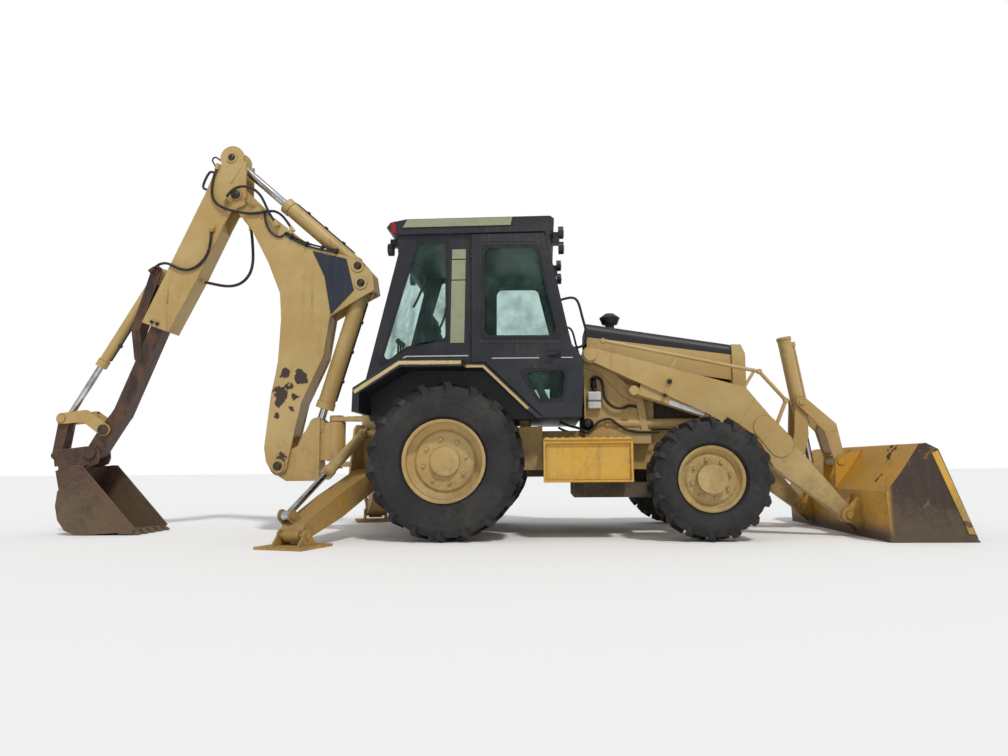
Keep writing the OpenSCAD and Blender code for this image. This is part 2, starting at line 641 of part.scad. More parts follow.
module cab_shell(o, w, t) plate(o, w);
module cab_frame() color(dark) {
    cab_walls();
    hinge_posts();
}
module cab_walls() difference() {
    union() {
        difference() {
            plate(cab_out, 2*cab_y);
            side(2*(cab_y - cab_t)) offset(delta = -cab_t) polygon(cab_out);
        }
        difference() {
            plate(tub_out, 2*600);
            side(2*(600 - cab_t)) offset(delta = -cab_t) polygon(tub_out);
        }
    }
    // Open the tub to the cab above it
    plate([[-690, 1215], [-350, 1435], [295, 1425], [680, 1050], [750, 1024], [1080, 1024], [1080, 1100], [700, 1500], [-600, 1500]],
        2*(600 - cab_t));
    // Door openings
    for (s = [-1, 1]) plate([[250, 2530], [800, 2530], [1004, 1600], [1098, 1470], [1076, 1044], [830, 1044], [725, 1140],
        [350, 1510], [250, 1510]], 4*cab_t, s*cab_y);
    // Rear side windows
    for (s = [-1, 1]) plate(side_window, 4*cab_t, s*cab_y);
    // Windscreen and the small panes beneath it
    plate([[700, 2520], [880, 2520], [1080, 1640], [1000, 1620], [900, 1640]], 2*(cab_y - 55));
    for (s = [-1, 1]) plate([[1050, 1430], [1180, 1430], [1160, 1060], [1050, 1060]], 200, s*590);
    // Rear window
    plate([[-500, 2400], [-350, 2400], [-580, 1400], [-760, 1400]], 2*(cab_y - 60));
    // Louvre strip behind the door post
    for (s = [-1, 1]) for (i = [0:2]) plate([[40, 2430 - i*270], [130, 2430 - i*270], [140, 2190 - i*270], [40, 2190 - i*270]],
        16, s*cab_y);
}

module cab_roof() color(dark) {
    plate([[-470, roof_z], [-535, roof_z + 63], [-500, roof_z + 108], [-362, roof_z + roof_h], [880, roof_z + roof_h],
        [913, roof_z + roof_h - 26], [905, roof_z]], 2*(cab_y + 30));
    // Olive strip along the roof's edge
    color(olive) both(cab_y + 32) plate([[-360, roof_z + 60], [-350, roof_z + roof_h - 8], [553, roof_z + roof_h - 8], [553, roof_z + 60]], 8);
    // Lamps under the roof
    for (s = [-1, 1]) {
        for (z = [2502, 2640]) translate([950, s*560, z]) rotate([0, 90, 0]) cylinder(r = 55, h = 45);
        translate([880, s*560 - 30, 2530]) cube([80, 60, 110]);
        translate([-560, s*560, 2521]) rotate([0, 90, 0]) cylinder(r = 55, h = 45);
        translate([-540, s*560 - 30, 2540]) cube([80, 60, 70]);
    }
}

// Panes sit in the middle of the wall that holds them, a hair inside their openings
module pane(o, y) side(glass_t, y) offset(delta = -0.4) polygon(o);
module cab_glass() color(clear) {
    for (s = [-1, 1]) pane(side_window, s*(cab_y - cab_t/2));
    // Low front panes, windscreen and rear window follow the slope of their walls
    for (s = [-1, 1]) plate([[1102, 1060.4], [1102 + glass_t, 1060.4], [1122 + glass_t, 1429.6], [1122, 1429.6]], 199.2, s*590);
    plate([[835, 2519.6], [835 + glass_t, 2519.6], [1020 + glass_t, 1642], [1020, 1642]], 2*(cab_y - 55) - 0.8);
    plate([[-429, 2399.6], [-429 - glass_t, 2399.6], [-679 - glass_t, 1400.4], [-679, 1400.4]], 2*(cab_y - 60) - 0.8);
}

module door(s) {
    difference() {
        plate(door_out, door_t, s*(cab_y + 5 + door_t/2));
        plate(door_window, 2*door_t + 20, s*(cab_y + 5 + door_t/2));
        plate(door_low_window, 2*door_t + 20, s*(cab_y + 5 + door_t/2));
        for (z = [2424, 1700]) translate([200, s*770, z]) cylinder(r = 25, h = 114, center = true);
    }
    // Hinge knuckles and handle
    for (z = [2424, 1700]) translate([200, s*770, z]) difference() {
        union() {
            cylinder(r = 13, h = 70, center = true);
            translate([0, s > 0 ? -10 : -10, -30]) cube([40, 20, 60]);
        }
        cylinder(r = 7 + slip, h = 80, center = true);
    }
    translate([869, s*(cab_y + 5 + door_t), 1524]) rotate([-90*s, 0, 0]) cylinder(r = 16, h = 40);
    translate([829, s > 0 ? cab_y + 5 + door_t + 38 : -cab_y - door_t - 57, 1512]) cube([80, 14, 24]);
}
module door_right() color(dark) door(-1);
module door_left() color(dark) door(1);
module door_panes(s) {
    pane(door_window, s*(cab_y + 5 + door_t/2));
    pane(door_low_window, s*(cab_y + 5 + door_t/2));
}
module door_glass_right() color(clear) door_panes(-1);
module door_glass_left() color(clear) door_panes(1);

module hinge_posts() for (s = [-1, 1]) for (z = [2424, 1700]) {
    translate([200, s*770, z]) cylinder(r = 7, h = 110, center = true);
    for (k = [-1, 1]) translate([186, s > 0 ? cab_y - 3 : -cab_y - 30, z + k*46 - 7]) cube([28, 33, 14]);
}

module seat_and_controls() color(dark) {
    seat();
    controls();
}
module seat() {
    translate([-60, -110, floor_z]) cube([260, 220, 1284 - floor_z]);
    translate([-140, -250, 1284]) cube([500, 500, 130]);
    at([-120, 1400], 100) translate([0, -240, 0]) cube([620, 480, 110]);
}
module controls() {
    // Steering column and wheel
    at([886, floor_z + 32], 115) rotate([0, 90, 0]) cylinder(r = 35, h = 685);
    at([596, 1677], 115) rotate([0, 90, 0]) rotate_extrude() translate([190, 0]) circle(r = 14, $fn = 16);
    at([596, 1677], 115) rotate([0, 90, 0]) for (a = [0, 120, 240]) rotate(a) translate([0, -12, -8]) cube([190, 24, 16]);
    // Console and levers
    translate([860, -420, floor_z]) cube([160, 840, 330]);
    translate([-620, -320, floor_z]) cube([130, 640, 1430 - floor_z]);
    for (y = [-120, 0, 120]) translate([-555, y, 1420]) cylinder(r = 10, h = 330);
    for (y = [-120, 0, 120]) translate([-555, y, 1770]) sphere(r = 26);
}

// Loader

module arm_frame() at(arm_pivot, -arm_rest) children();
module loader_arms() color(paint) arm_frame() {
    difference() {
        union() {
            for (s = [-1, 1]) {
                plate(arm_rear_out, arm_w, s*arm_y);
                plate(arm_front_out, arm_w - 14, s*arm_y);
                pin([0, 0], 72, arm_w, s*arm_y);
                pin([arm_len, 0], 70, arm_w - 14, s*arm_y);
                // Stub heads of the lift rod's pin
                for (k = [-1, 1]) pin(lift_on_arm, 40, 8, s*arm_y + k*(arm_w/2 + 2));
                // Gusset around the cross tube
                side(arm_w, s*arm_y) bar2([1560, 255], 98, [1740, 200], 105);
            }
            pin([1780, 173], cross_r, 2*(arm_y - arm_w/2 + 10));
            tilt_bracket();
        }
        for (s = [-1, 1]) {
            // Channel open to below, where the lift cylinder lies
            plate([[300, -60], [300, 140], [1230, 432], [1298, 424], [1350, 405], [1350, 20], [1100, 40]], arm_w - 2*arm_t, s*arm_y);
            pin([0, 0], 45 + slip, arm_w + 20, s*arm_y);
            pin([arm_len, 0], 32 + slip, arm_w + 20, s*arm_y);
        }
    }
    // Tube rail on the right arm, on three feet
    for (q = [[[26, 171], [1287, 648]], [[1287, 648], [1601, 554]], [[1601, 554], [1640, 330]]])
        at(q[0], heading(q[0], q[1]), -arm_y) {
            rotate([0, 90, 0]) cylinder(r = 16, h = norm(q[1] - q[0]));
            rotate([90, 0, 0]) cylinder(r = 21, h = 36, center = true);
        }
    for (q = [[40, 70, 100], [640, 250, 150], [1250, 440, 190]])
        translate([q[0] - 12, -arm_y - 8, q[1]]) cube([24, 16, q[2]]);
}
module tilt_bracket() {
    for (s = [-1, 1]) side(20, s*56) difference() {
        union() {
            bar2([1780, 173], 120, lever_on_arm, 62);
            bar2(lever_on_arm, 62, rod_on_arm, 60);
        }
        translate(lever_on_arm) circle(r = 34 + slip);
    }
    for (s = [-1, 1]) pin(rod_on_arm, 38, 8, s*70);
}

// Lift cylinders, both sides alike
module lift_barrels() color(paint) for (s = [-1, 1]) at(lift_base, lift_dir, s*arm_y) {
    barrel(665, lift_r - 8, lift_rod_r, 46, 88, 28, 40);
    // Brace channel lying over the barrel
    difference() {
        translate([36, -46, -20]) cube([634, 92, 108]);
        translate([26, -40, -30]) cube([710, 80, 112]);
    }
}
module lift_rods() color(bare) for (s = [-1, 1]) at(lift_base, lift_dir, s*arm_y)
    rod(100, lift_l, lift_rod_r, 42, 80);

// Loader bucket, outline from its hinge
bucket_side = [[733, -bucket_drop], [98, -bucket_drop], [83, 198], [221, 373], [347, 559], [401, 568], [490, 521],
    [733, -bucket_drop + 30]];
module loader_bucket() color(sunny) at(arm_b, 0) difference() {
    union() {
        // Sides
        for (s = [-1, 1]) plate(bucket_side, bucket_t, s*(bucket_w/2 - bucket_t/2));
        // Back and bottom as one bent sheet
        plate([[733, -bucket_drop], [98, -bucket_drop], [83, 198], [221, 373], [347, 559], [363, 552], [237, 367], [99, 190],
            [114, -bucket_drop + bucket_t], [733, -bucket_drop + bucket_t]], bucket_w - 4);
        // Top lip and cutting edge
        plate([[347, 559], [401, 568], [490, 521], [482, 508], [399, 552], [340, 545]], bucket_w - 4);
        plate([[560, -bucket_drop], [745, -bucket_drop], [745, -bucket_drop + 12], [720, -bucket_drop + 28],
            [560, -bucket_drop + 28]], bucket_w);
        // Hinge ears on both sides of each arm
        for (s = [-1, 1]) for (k = [-1, 1]) side(18, s*arm_y + k*(arm_w/2 + 7)) {
            circle(r = 66);
            polygon([[0, -66], [100, -150], [100, 185], [-10, 66]]);
        }
        for (s = [-1, 1]) pin([0, 0], 32, arm_w + 60, s*arm_y);
        // Brackets of the tilt link
        for (s = [-1, 1]) side(18, s*143) difference() {
            union() {
                translate(bucket_pin) circle(r = 52);
                polygon([bucket_pin + [-52, 0], [80, 190], [225, 372], [330, 540], bucket_pin + [0, 52]]);
            }
        }
        for (s = [-1, 1]) pin(bucket_pin, 36, 8, s*156);
    }
}

// Tilt linkage in the middle
module tilt_lever() color(paint) difference() {
    union() {
        for (s = [-1, 1]) side(20, s*88) difference() {
            union() {
                bar2(lever_v, 60, lever_v + 0.45*(lever_p - lever_v) + [26, 0], 62);
                bar2(lever_v + 0.45*(lever_p - lever_v) + [26, 0], 62, lever_p, 52);
            }
        }
        pin(lever_v, 34, 220);
        for (s = [-1, 1]) pin(lever_v, 48, 10, s*103);
        // Trunnion pins that reach into the cylinder and out through the link
        for (s = [-1, 1]) pin(lever_p, 28, 66, s*104);
    }
}
module tilt_link() color(paint) {
    k = lever_p + 0.55*(link_u - lever_p) + [70, 60];
    difference() {
        union() {
            for (s = [-1, 1]) side(18, s*115) {
                bar2(lever_p, 48, k, 60);
                bar2(k, 60, link_u, 46);
            }
            pin(link_u, 44, 248);
            // Plate that ties the two sides together
            side(224) difference() {
                bar2(k, 50, k + 0.62*(link_u - k), 44);
            }
        }
        pin(lever_p, 28 + slip, 300);
    }
}
module tilt_barrel() color(paint) at(lever_p, tilt_dir) difference() {
    union() {
        translate([-614, 0, 0]) rotate([0, 90, 0]) cylinder(r = tilt_r, h = 814);
        translate([-614, 0, 0]) rotate([0, 90, 0]) cylinder(r = tilt_r + 6, h = 26);
        translate([140, 0, 0]) rotate([0, 90, 0]) cylinder(r = tilt_r + 7, h = 60);
        rotate([90, 0, 0]) cylinder(r = 50, h = 2*74, center = true);
        // Port and pipe along the rear
        translate([-560, -14, tilt_r - 10]) cube([40, 28, 40]);
        translate([-550, 0, tilt_r + 16]) rotate([0, 90, 0]) cylinder(r = 11, h = 660);
        translate([90, -14, tilt_r - 10]) cube([40, 28, 40]);
    }
    translate([-560, 0, 0]) rotate([0, 90, 0]) cylinder(r = tilt_rod_r + slip, h = 900);
    rotate([90, 0, 0]) for (s = [-1, 1]) translate([0, 0, s*84]) cylinder(r = 28 + slip, h = 50, center = true);
}
module tilt_rod() color(bare) at(lever_p, tilt_dir) rod(-260, tilt_l, tilt_rod_r, 48, 70);

// Backhoe

module swing_post() color(paint) difference() {
    union() {
        // Hub between the tongues and its pins
        translate([swing_x, 0, 656]) cylinder(r = swing_boss_r, h = 368);
        translate([swing_x, 0, 586]) cylinder(r = 45, h = 498);
        for (z = [586, 1072]) translate([swing_x, 0, z]) cylinder(r = 62, h = 12);
        translate([swing_x - 200, -70, 664]) cube([200, 140, 352]);
        // Casting out to the boom foot
        side(200) difference() {
            union() {
                polygon([[-1690, 530], [-1601, 474], [-1292, 474], [-1292, 1050], [-1380, 1030], [-1500, 800], [-1700, 700]]);
                translate(boom_foot) circle(r = 90);
            }
        }
        for (s = [-1, 1]) side(24, s*67) {
            translate(boom_cyl[1]) circle(r = 74);
            polygon([[-1292, 1060], [-1292, 880], [-1480, 880], [-1390, 1000]]);
        }
        pin(boom_foot, 46, 2*boom_y + 24);
        for (s = [-1, 1]) pin(boom_foot, 66, 14, s*(boom_y + 8));
        for (s = [-1, 1]) pin(boom_cyl[1], 50, 10, s*83);
    }
    // Room for the eye of the boom rod
    side(110) {
        translate(boom_cyl[1]) circle(r = 90);
        translate(boom_cyl[1] + [-76, -58]) circle(r = 90);
        polygon([[-1248, 930], [-1300, 854], [-1424, 846], [-1492, 930], [-1500, 1200], [-1200, 1200]]);
    }
}

module boom_plate() {
    polygon(concat(boom_left, boom_right, [[-874, 2216], [-783, 2262], [-809, 2437], [-926, 2566], [-1149, 2630],
        [-1403, 2705], [-1933, 3121]]));
    translate(boom_foot) circle(r = 80);
}
module boom() color(paint) difference() {
    union() {
        for (s = [-1, 1]) side(boom_t, s*(boom_y - boom_t/2)) boom_plate();
        // Closed box between the side plates
        side(2*boom_y - 10) polygon([[-2073, 3020], [-1964, 2838], [-1818, 2558], [-1694, 2252], [-1677, 2000], [-1696, 1608],
            [-1721, 1447], [-1755, 1287], [-1786, 980], [-1640, 830], [-1540, 900], [-1466, 1198], [-1276, 1629],
            [-1216, 2020], [-1200, 2300], [-1330, 2560], [-1500, 2735], [-1933, 3101]]);
        // Nose between the stick's ears
        side(2*(stick_y - stick_t - run)) {
            bar2(stick_pin, 100, [-1960, 3020], 115);
        }
        // Pins at the cylinders and bosses round them
        for (p = [boom_cyl[0], stick_cyl[0]]) {
            pin(p, 34, 2*boom_y + 20);
            for (s = [-1, 1]) pin(p, 62, 12, s*(boom_y + 4));
        }
        // Fittings of the hoses
        gland(loop_route[0], loop_route[1], 20, 1);
        gland([-1612, -118, 2905], [-1652, -118, 2963], 18, -117);
        gland([-1750, -178, 2945], [-1790, -178, 3007], 18, -120);
        // Tie plate below the cylinder ends
        side(2*boom_y - 10) polygon([[-800, 2380], [-783, 2262], [-795, 2258], [-812, 2376]]);
    }
    pin(boom_foot, 46 + slip, 400);
    pin(stick_pin, 44 + slip, 400);
    // Cut where the stick cylinder leaves the boom
    at(stick_cyl[0], stick_cyl_dir) translate([40, -106, -stick_cyl_r - 12]) cube([900, 212, 2*stick_cyl_r + 200]);
}
module boom_barrel() color(paint) at(boom_cyl[0], boom_cyl_dir)
    barrel(1240, boom_cyl_r, hoe_rod_r, 68, 200, 34, 70);
module boom_rod() color(bare) at(boom_cyl[0], boom_cyl_dir) rod(420, boom_cyl_l, hoe_rod_r, 62, 90);

module stick_box() polygon([[-2357, 3554], [-2476, 3253], [-2779, 2589], [-3050, 1999], [-2783, 1897], [-2500, 2455],
    [-2276, 2945], [-2210, 3080], [-2068, 3140], [-2068, 3590]]);
module stick() color(paint) difference() {
    union() {
        // Side plates up to the round head
        for (s = [-1, 1]) side(stick_t, s*(stick_y - stick_t/2)) {
            stick_box();
            translate(stick_cyl[1]) circle(r = 118);
            translate(stick_pin) circle(r = 105);
        }
        // Closed walls
        side(2*stick_y - 10) polygon([[-2357, 3554], [-2476, 3253], [-2779, 2589], [-3050, 1999], [-2783, 1897],
            [-2500, 2455], [-2300, 2893], [-2330, 3110], [-2345, 3554]]);
        pin(stick_pin, 44, 2*stick_y + 24);
        for (s = [-1, 1]) pin(stick_pin, 62, 10, s*(stick_y + 4));
        for (s = [-1, 1]) pin(stick_cyl[1], 52, 12, s*(stick_y + 5));
        // Fittings of the hoses, and the clamp on the side
        gland([-2490, 0, 2407], [-2440, 0, 2395], 20, 1);
        gland([-2362, -122, 3500], [-2384, -122, 3430], 18, -98);
        gland([-2225, -178, 3200], [-2178, -178, 3258], 18, -98);
        gland([-2386, -124, 2870], [-2392, -124, 2795], 18, -98);
        translate([-2382, -124, 2908]) sphere(r = 30);
    }
    // Bore of the box for the extension
    at(ext_mid, ext_dir) translate([-1270, -ext_y - 8, -ext_d/2 - 6]) cube([1500, 2*ext_y + 16, ext_d + 12]);
}
module stick_barrel() color(paint) at(stick_cyl[0], stick_cyl_dir)
    barrel(998, stick_cyl_r, hoe_rod_r, 62, 200, 34, 60);
module stick_rod() color(bare) at(stick_cyl[0], stick_cyl_dir) rod(680, stick_cyl_l, hoe_rod_r, 62, 100);

module stick_extension() color(rust) difference() {
    union() {
        // Box that slides in the stick
        at(ext_mid, ext_dir) translate([-1210, -ext_y, -ext_d/2]) cube([2050, 2*ext_y, ext_d]);
        // Foot out to the bucket hinge
        side(2*ext_y - 6) {
            bar2(hoe_hinge, 72, ray(ext_mid, ext_dir, 840), 66);
            bar2(rocker_pin, 58, ray(ext_mid, ext_dir, 860), 66);
            bar2(rocker_pin, 58, hoe_hinge, 72);
        }
        for (s = [-1, 1]) {
            // Bearing strips in the stick
            at(ext_mid, ext_dir) for (x = [-1200, -60]) translate([x, s > 0 ? ext_y - 1 : -ext_y - 7.4, -40]) cube([50, 8.4, 80]);
            // Bracket up to the cylinder's base
            side(14, s*(hoe_cyl_r + 16)) {
                bar2(hoe_cyl_base, 52, in_ext([60, -192]), 40);
                bar2(in_ext([60, -192]), 40, in_ext([300, -50]), 40);
            }
        }
        pin(hoe_cyl_base, 28, 2*hoe_cyl_r + 70);
        gland([-2945, -112, 2530], [-2888, -112, 2568], 18, -70);
        pin(hoe_hinge, 40, 2*ext_y + 100);
        for (s = [-1, 1]) pin(hoe_hinge, 56, 12, s*(ext_y + 48));
        pin(rocker_pin, 36, 2*ext_y + 84);
        for (s = [-1, 1]) pin(rocker_pin, 50, 10, s*(ext_y + 42));
    }
}
// Hoses that hang free
module hose_loop() color(rubber) hose(loop_route, loop_d);
module hose_pivot() color(rubber) hose(pivot_route, hose_d);
module hose_arch() color(rubber) hose(arch_route, hose_d);
module hose_stick() color(rubber) hose(stick_route, hose_d);

module rocker_link() color(paint) for (s = [-1, 1]) {
    side(20, s*(ext_y + 18)) difference() {
        union() {
            bar2(rocker_pin, 58, rocker_pin + [-190, 135], 56);
            bar2(rocker_pin + [-190, 135], 56, knee_pin, 52);
        }
        translate(rocker_pin) circle(r = 36 + slip);
    }
    pin(knee_pin, 40, 12, s*(ext_y + 33));
}
module h_link() color(rust) {
    for (s = [-1, 1]) side(18, s*58) difference() {
        bar2(hoe_u, 46, knee_pin, 46);
        translate(hoe_u) circle(r = 32 + slip);
    }
    side(116) bar2(hoe_u + 0.42*(knee_pin - hoe_u) + [30, 0], 14, hoe_u + 0.60*(knee_pin - hoe_u) + [30, 0], 14);
}
module bucket_barrel() color(paint) at(hoe_cyl_base, hoe_cyl_dir)
    barrel(1074, hoe_cyl_r - 6, 30, 48, 2*hoe_cyl_r, 28, 50);
module bucket_rod() color(bare) at(hoe_cyl_base, hoe_cyl_dir) rod(530, hoe_cyl_l, 30, 44, 76);

// Backhoe bucket, outline from its hinge
hoe_side = [[-14, -119], [-60, -125], [-178, -363], [-190, -490], [-163, -615], [-90, -712], [23, -755], [541, -725]];
module hoe_bucket() color(rust) at(hoe_hinge, 0) {
    difference() {
        union() {
            difference() {
                plate(hoe_side, 2*hoe_bucket_y);
                side(2*(hoe_bucket_y - 16)) difference() {
                    translate([18, 12]) polygon([[20, -119], [-60, -128], [-178, -363], [-190, -490], [-163, -615], [-90, -712],
                        [23, -748], [700, -710], [300, -100]]);
                }
            }
            // Side cutters along the front edge
            for (s = [-1, 1]) plate([[-14, -119], [40, -119], [575, -700], [541, -725]], 14, s*(hoe_bucket_y - 5));
            // Lip
            plate([[420, -757 + 12], [560, -740], [565, -722], [420, -715]], 2*hoe_bucket_y);
            // Ears
            for (s = [-1, 1]) side(22, s*(ext_y + 20)) difference() {
                polygon([[-367, 14], [-352, -105], [-293, -353], [-170, -400], [-20, -140], [64, -105], [82, -50], [74, 24],
                    [26, 62], [-52, 60], [-271, 35], [-330, 40]]);
                translate([-331, -146]) circle(r = 22);
            }
            pin(hoe_link_pin, 32, 2*(ext_y + 31));
            side(2*(ext_y + 20)) polygon([[-293, -353], [-170, -400], [-20, -140], [-60, -125], [-178, -335]]);
        }
        pin([0, 0], 40 + slip, 400);
    }
    // Teeth
    for (i = [0:teeth - 1]) plate([[470, -758 + 12], [600, -752], [604, -742], [560, -712], [470, -706]], 60,
        -hoe_bucket_y + 40 + i*(2*hoe_bucket_y - 80)/(teeth - 1));
}

// Stabilisers: the right one is drawn, the left one mirrored

module leg_r() stab_place() difference() {
    union() {
        side(2*leg_y) {
            bar2(stab_a, 84, [560, 285], 92);
            bar2([560, 285], 92, pad_pin + [-40, 40], 62);
        }
        side(140) bar2(pad_pin + [-120, 60], 50, pad_pin, 48);
        // Lugs of the cylinder rod
        for (s = [-1, 1]) side(16, -stab_off + s*47) bar2(stab_rod_pin, 46, [stab_rod_pin[0] - 99, 161], 43.5);
        for (s = [-1, 1]) pin(stab_rod_pin, 32, 8, -stab_off + s*58);
    }
    pin(stab_a, 35 + slip, 300);
    pin(pad_pin, 30 + slip, 300);
}
module pad_r() stab_place() {
    translate([pad_pin[0] - 200, -pad_half, 0]) cube([400, 2*pad_half, 20]);
    for (s = [-1, 1]) side(18, s*(leg_y + run + 9)) difference() {
        union() {
            translate(pad_pin) circle(r = 50);
            polygon([pad_pin + [-50, 0], [pad_pin[0] - 120, 15], [pad_pin[0] + 120, 15], pad_pin + [50, 0]]);
        }
    }
    pin(pad_pin, 30, 2*(leg_y + run + 22));
}
module stab_barrel_r() stab_place() at(stab_base_pin, stab_dir, -stab_off) barrel(690, 46, 26, 44, 80, 28, 50);
module stab_rod_r() stab_place() at(stab_base_pin, stab_dir, -stab_off) rod(565, stab_l, 26, 36, 70);
module stab_leg_right() color(paint) leg_r();
module stab_leg_left() color(paint) mirror([0, 1, 0]) leg_r();
module stab_pad_right() color(sunny) pad_r();
module stab_pad_left() color(sunny) mirror([0, 1, 0]) pad_r();
module stab_barrel_right() color(paint) stab_barrel_r();
module stab_barrel_left() color(paint) mirror([0, 1, 0]) stab_barrel_r();
module stab_rod_right() color(bare) stab_rod_r();
module stab_rod_left() color(bare) mirror([0, 1, 0]) stab_rod_r();

// Eyes for lashing the machine down, flat under the ends of both rails and ahead of the grille
module tie_down_eyes() color(paint) for (s = [-1, 1]) translate([0, 0, rail_lo - 24]) linear_extrude(24) difference() {
    union() {
        translate([tie_eye[0], s*tie_eye[1]]) circle(r = 46);
        translate([2360, s*tie_eye[1] - 46]) square([tie_eye[0] - 2360, 92]);
    }
    translate([tie_eye[0], s*tie_eye[1]]) circle(r = tie_eye_r);
}

module placed() translate([axle_x, 0, 0]) children();

placed() main_frame();
placed() engine_and_drive();
placed() rear_axle();
placed() front_axle();
placed() knuckle(-1);  // knuckle_right
placed() knuckle(1);  // knuckle_left
placed() rear_tyre_r();  // rear_tyre_right
placed() rear_tyre_l();  // rear_tyre_left
placed() front_tyre_r();  // front_tyre_right
placed() front_tyre_l();  // front_tyre_left
placed() rear_rim_right();
placed() rear_rim_left();
placed() front_rim_right();
placed() front_rim_left();
placed() step_boxes();
placed() hood();
placed() grille();
placed() fenders();
placed() cab_frame();
placed() cab_roof();
placed() cab_glass();
placed() door_right();
placed() door_left();
placed() door_glass_right();
placed() door_glass_left();
placed() seat_and_controls();
placed() loader_arms();
placed() lift_barrels();
placed() lift_rods();
placed() loader_bucket();
placed() tilt_lever();
placed() tilt_link();
placed() tilt_barrel();
placed() tilt_rod();
placed() swing_post();
placed() boom();
placed() boom_barrel();
placed() boom_rod();
placed() stick();
placed() stick_barrel();
placed() stick_rod();
placed() stick_extension();
placed() hose_loop();
placed() hose_pivot();
placed() hose_arch();
placed() hose_stick();
placed() rocker_link();
placed() h_link();
placed() bucket_barrel();
placed() bucket_rod();
placed() hoe_bucket();
placed() stab_leg_right();
placed() stab_leg_left();
placed() stab_pad_right();
placed() stab_pad_left();
placed() stab_barrel_right();
placed() stab_barrel_left();
placed() stab_rod_right();
placed() stab_rod_left();
placed() tie_down_eyes();
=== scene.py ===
# %% [markdown]
# # Dressing a backhoe loader
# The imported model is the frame: real pieces at their real places. This script gives every piece its
# finish and adds the small things that a maker bolts, glues or lays on afterwards.

# %% Load the frame
import json
import math
import bmesh
import bpy
from mathutils import Matrix, Vector


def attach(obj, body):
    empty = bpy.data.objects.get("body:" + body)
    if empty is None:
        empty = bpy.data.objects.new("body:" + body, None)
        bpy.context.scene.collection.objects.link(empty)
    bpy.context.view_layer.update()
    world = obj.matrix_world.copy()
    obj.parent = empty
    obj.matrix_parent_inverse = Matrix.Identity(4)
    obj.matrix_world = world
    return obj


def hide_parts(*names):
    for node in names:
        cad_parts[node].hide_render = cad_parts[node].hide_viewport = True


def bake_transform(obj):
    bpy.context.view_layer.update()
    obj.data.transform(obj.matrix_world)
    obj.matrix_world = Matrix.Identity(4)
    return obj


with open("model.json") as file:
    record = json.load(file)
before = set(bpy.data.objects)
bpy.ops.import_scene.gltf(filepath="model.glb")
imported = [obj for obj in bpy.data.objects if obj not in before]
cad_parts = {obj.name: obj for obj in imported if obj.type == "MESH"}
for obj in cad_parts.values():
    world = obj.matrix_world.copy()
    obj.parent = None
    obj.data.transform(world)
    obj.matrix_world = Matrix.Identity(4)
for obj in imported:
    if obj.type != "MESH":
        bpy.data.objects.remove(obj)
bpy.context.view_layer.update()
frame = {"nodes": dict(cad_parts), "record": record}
nodes = frame["nodes"]

# %% [markdown]
# ## Drawing units
# The maker's drawing is in millimetres from the rear axle, and the frame in metres with its origin
# 70 mm ahead of that axle. `P` turns one into the other, so sizes here read as they do on a drawing.

# %% From the drawing to the frame
AXLE_X = -70


def P(x, y, z):
    """A point of the drawing, in metres in the frame"""
    return Vector((x + AXLE_X, y, z)) / 1000


def srgb(r, g, b):
    """A colour written 0 to 255 as the linear values that nodes use"""
    return tuple(((c / 255 + 0.055) / 1.055) ** 2.4 if c > 10 else c / 255 / 12.92 for c in (r, g, b)) + (1,)


print("rear axle in the frame:", tuple(P(0, 0, 640)))

# %% [markdown]
# ## Camera
# The camera stands at the right of the machine, low, with a wide lens. Its place, turn and lens were
# worked out from the wheels, the buckets' pins and the cab's corners. A camera could be turned by three
# Euler angles; here its axes are built one after another, which shows what each angle does.

# %% Camera
CAMERA = (0.7426, -7.0875, 0.6023)  # metres
YAW = math.radians(3.087)
PITCH = math.radians(6.575)
ROLL = math.radians(-0.486)
IMAGE = (1008, 756)
FOCAL_PX = 758.06
SENSOR_MM = 36
FAR_END = 200

forward = Vector((-math.sin(YAW) * math.cos(PITCH), math.cos(YAW) * math.cos(PITCH), math.sin(PITCH)))
level = Vector((math.cos(YAW), math.sin(YAW), 0))
upright = level.cross(forward)
right = math.cos(ROLL) * level + math.sin(ROLL) * upright
up = -math.sin(ROLL) * level + math.cos(ROLL) * upright
turn = Matrix((right, up, -forward)).transposed().to_4x4()
lens = bpy.data.cameras.new("camera")
lens.sensor_width = SENSOR_MM
lens.lens = FOCAL_PX / IMAGE[0] * SENSOR_MM
lens.clip_end = FAR_END
camera = bpy.data.objects.new("camera", lens)
camera.matrix_world = Matrix.Translation(CAMERA) @ turn
bpy.context.scene.collection.objects.link(camera)
bpy.context.scene.camera = camera
print("lens, mm:", round(lens.lens, 2))

# %% [markdown]
# ## Making pieces
# A piece is grown in a bmesh by operators, then laid on its body. `keep` does the end of that work for
# all of them: it merges doubles, turns the faces outward, makes the object, gives it a material and lets
# it ride on a body. A pipe could be a curve with a bevel, but a ring that is extruded from point to point
# is a mesh from the start, so the same function serves hoses, rails, handles and weld seams.

# %% Helpers for pieces
DOUBLES = 1e-6
SHARP = math.radians(40)


def keep(bm, name, body, material, smooth=True):
    """The bmesh as an object that rides on a body"""
    bmesh.ops.remove_doubles(bm, verts=bm.verts, dist=DOUBLES)
    bmesh.ops.recalc_face_normals(bm, faces=bm.faces)
    mesh = bpy.data.meshes.new(name)
    bm.to_mesh(mesh)
    bm.free()
    for face in mesh.polygons:
        face.use_smooth = smooth
    obj = bpy.data.objects.new(name, mesh)
    bpy.context.scene.collection.objects.link(obj)
    if material:
        mesh.materials.append(material)
    if body:
        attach(obj, body)
    return obj


def rounded(obj, width, segments=2):
    """A bevel on the sharp edges of a piece, width in metres"""
    mod = obj.modifiers.new("bevel", "BEVEL")
    mod.width = width
    mod.segments = segments
    mod.limit_method = "ANGLE"
    mod.angle_limit = SHARP
    return obj


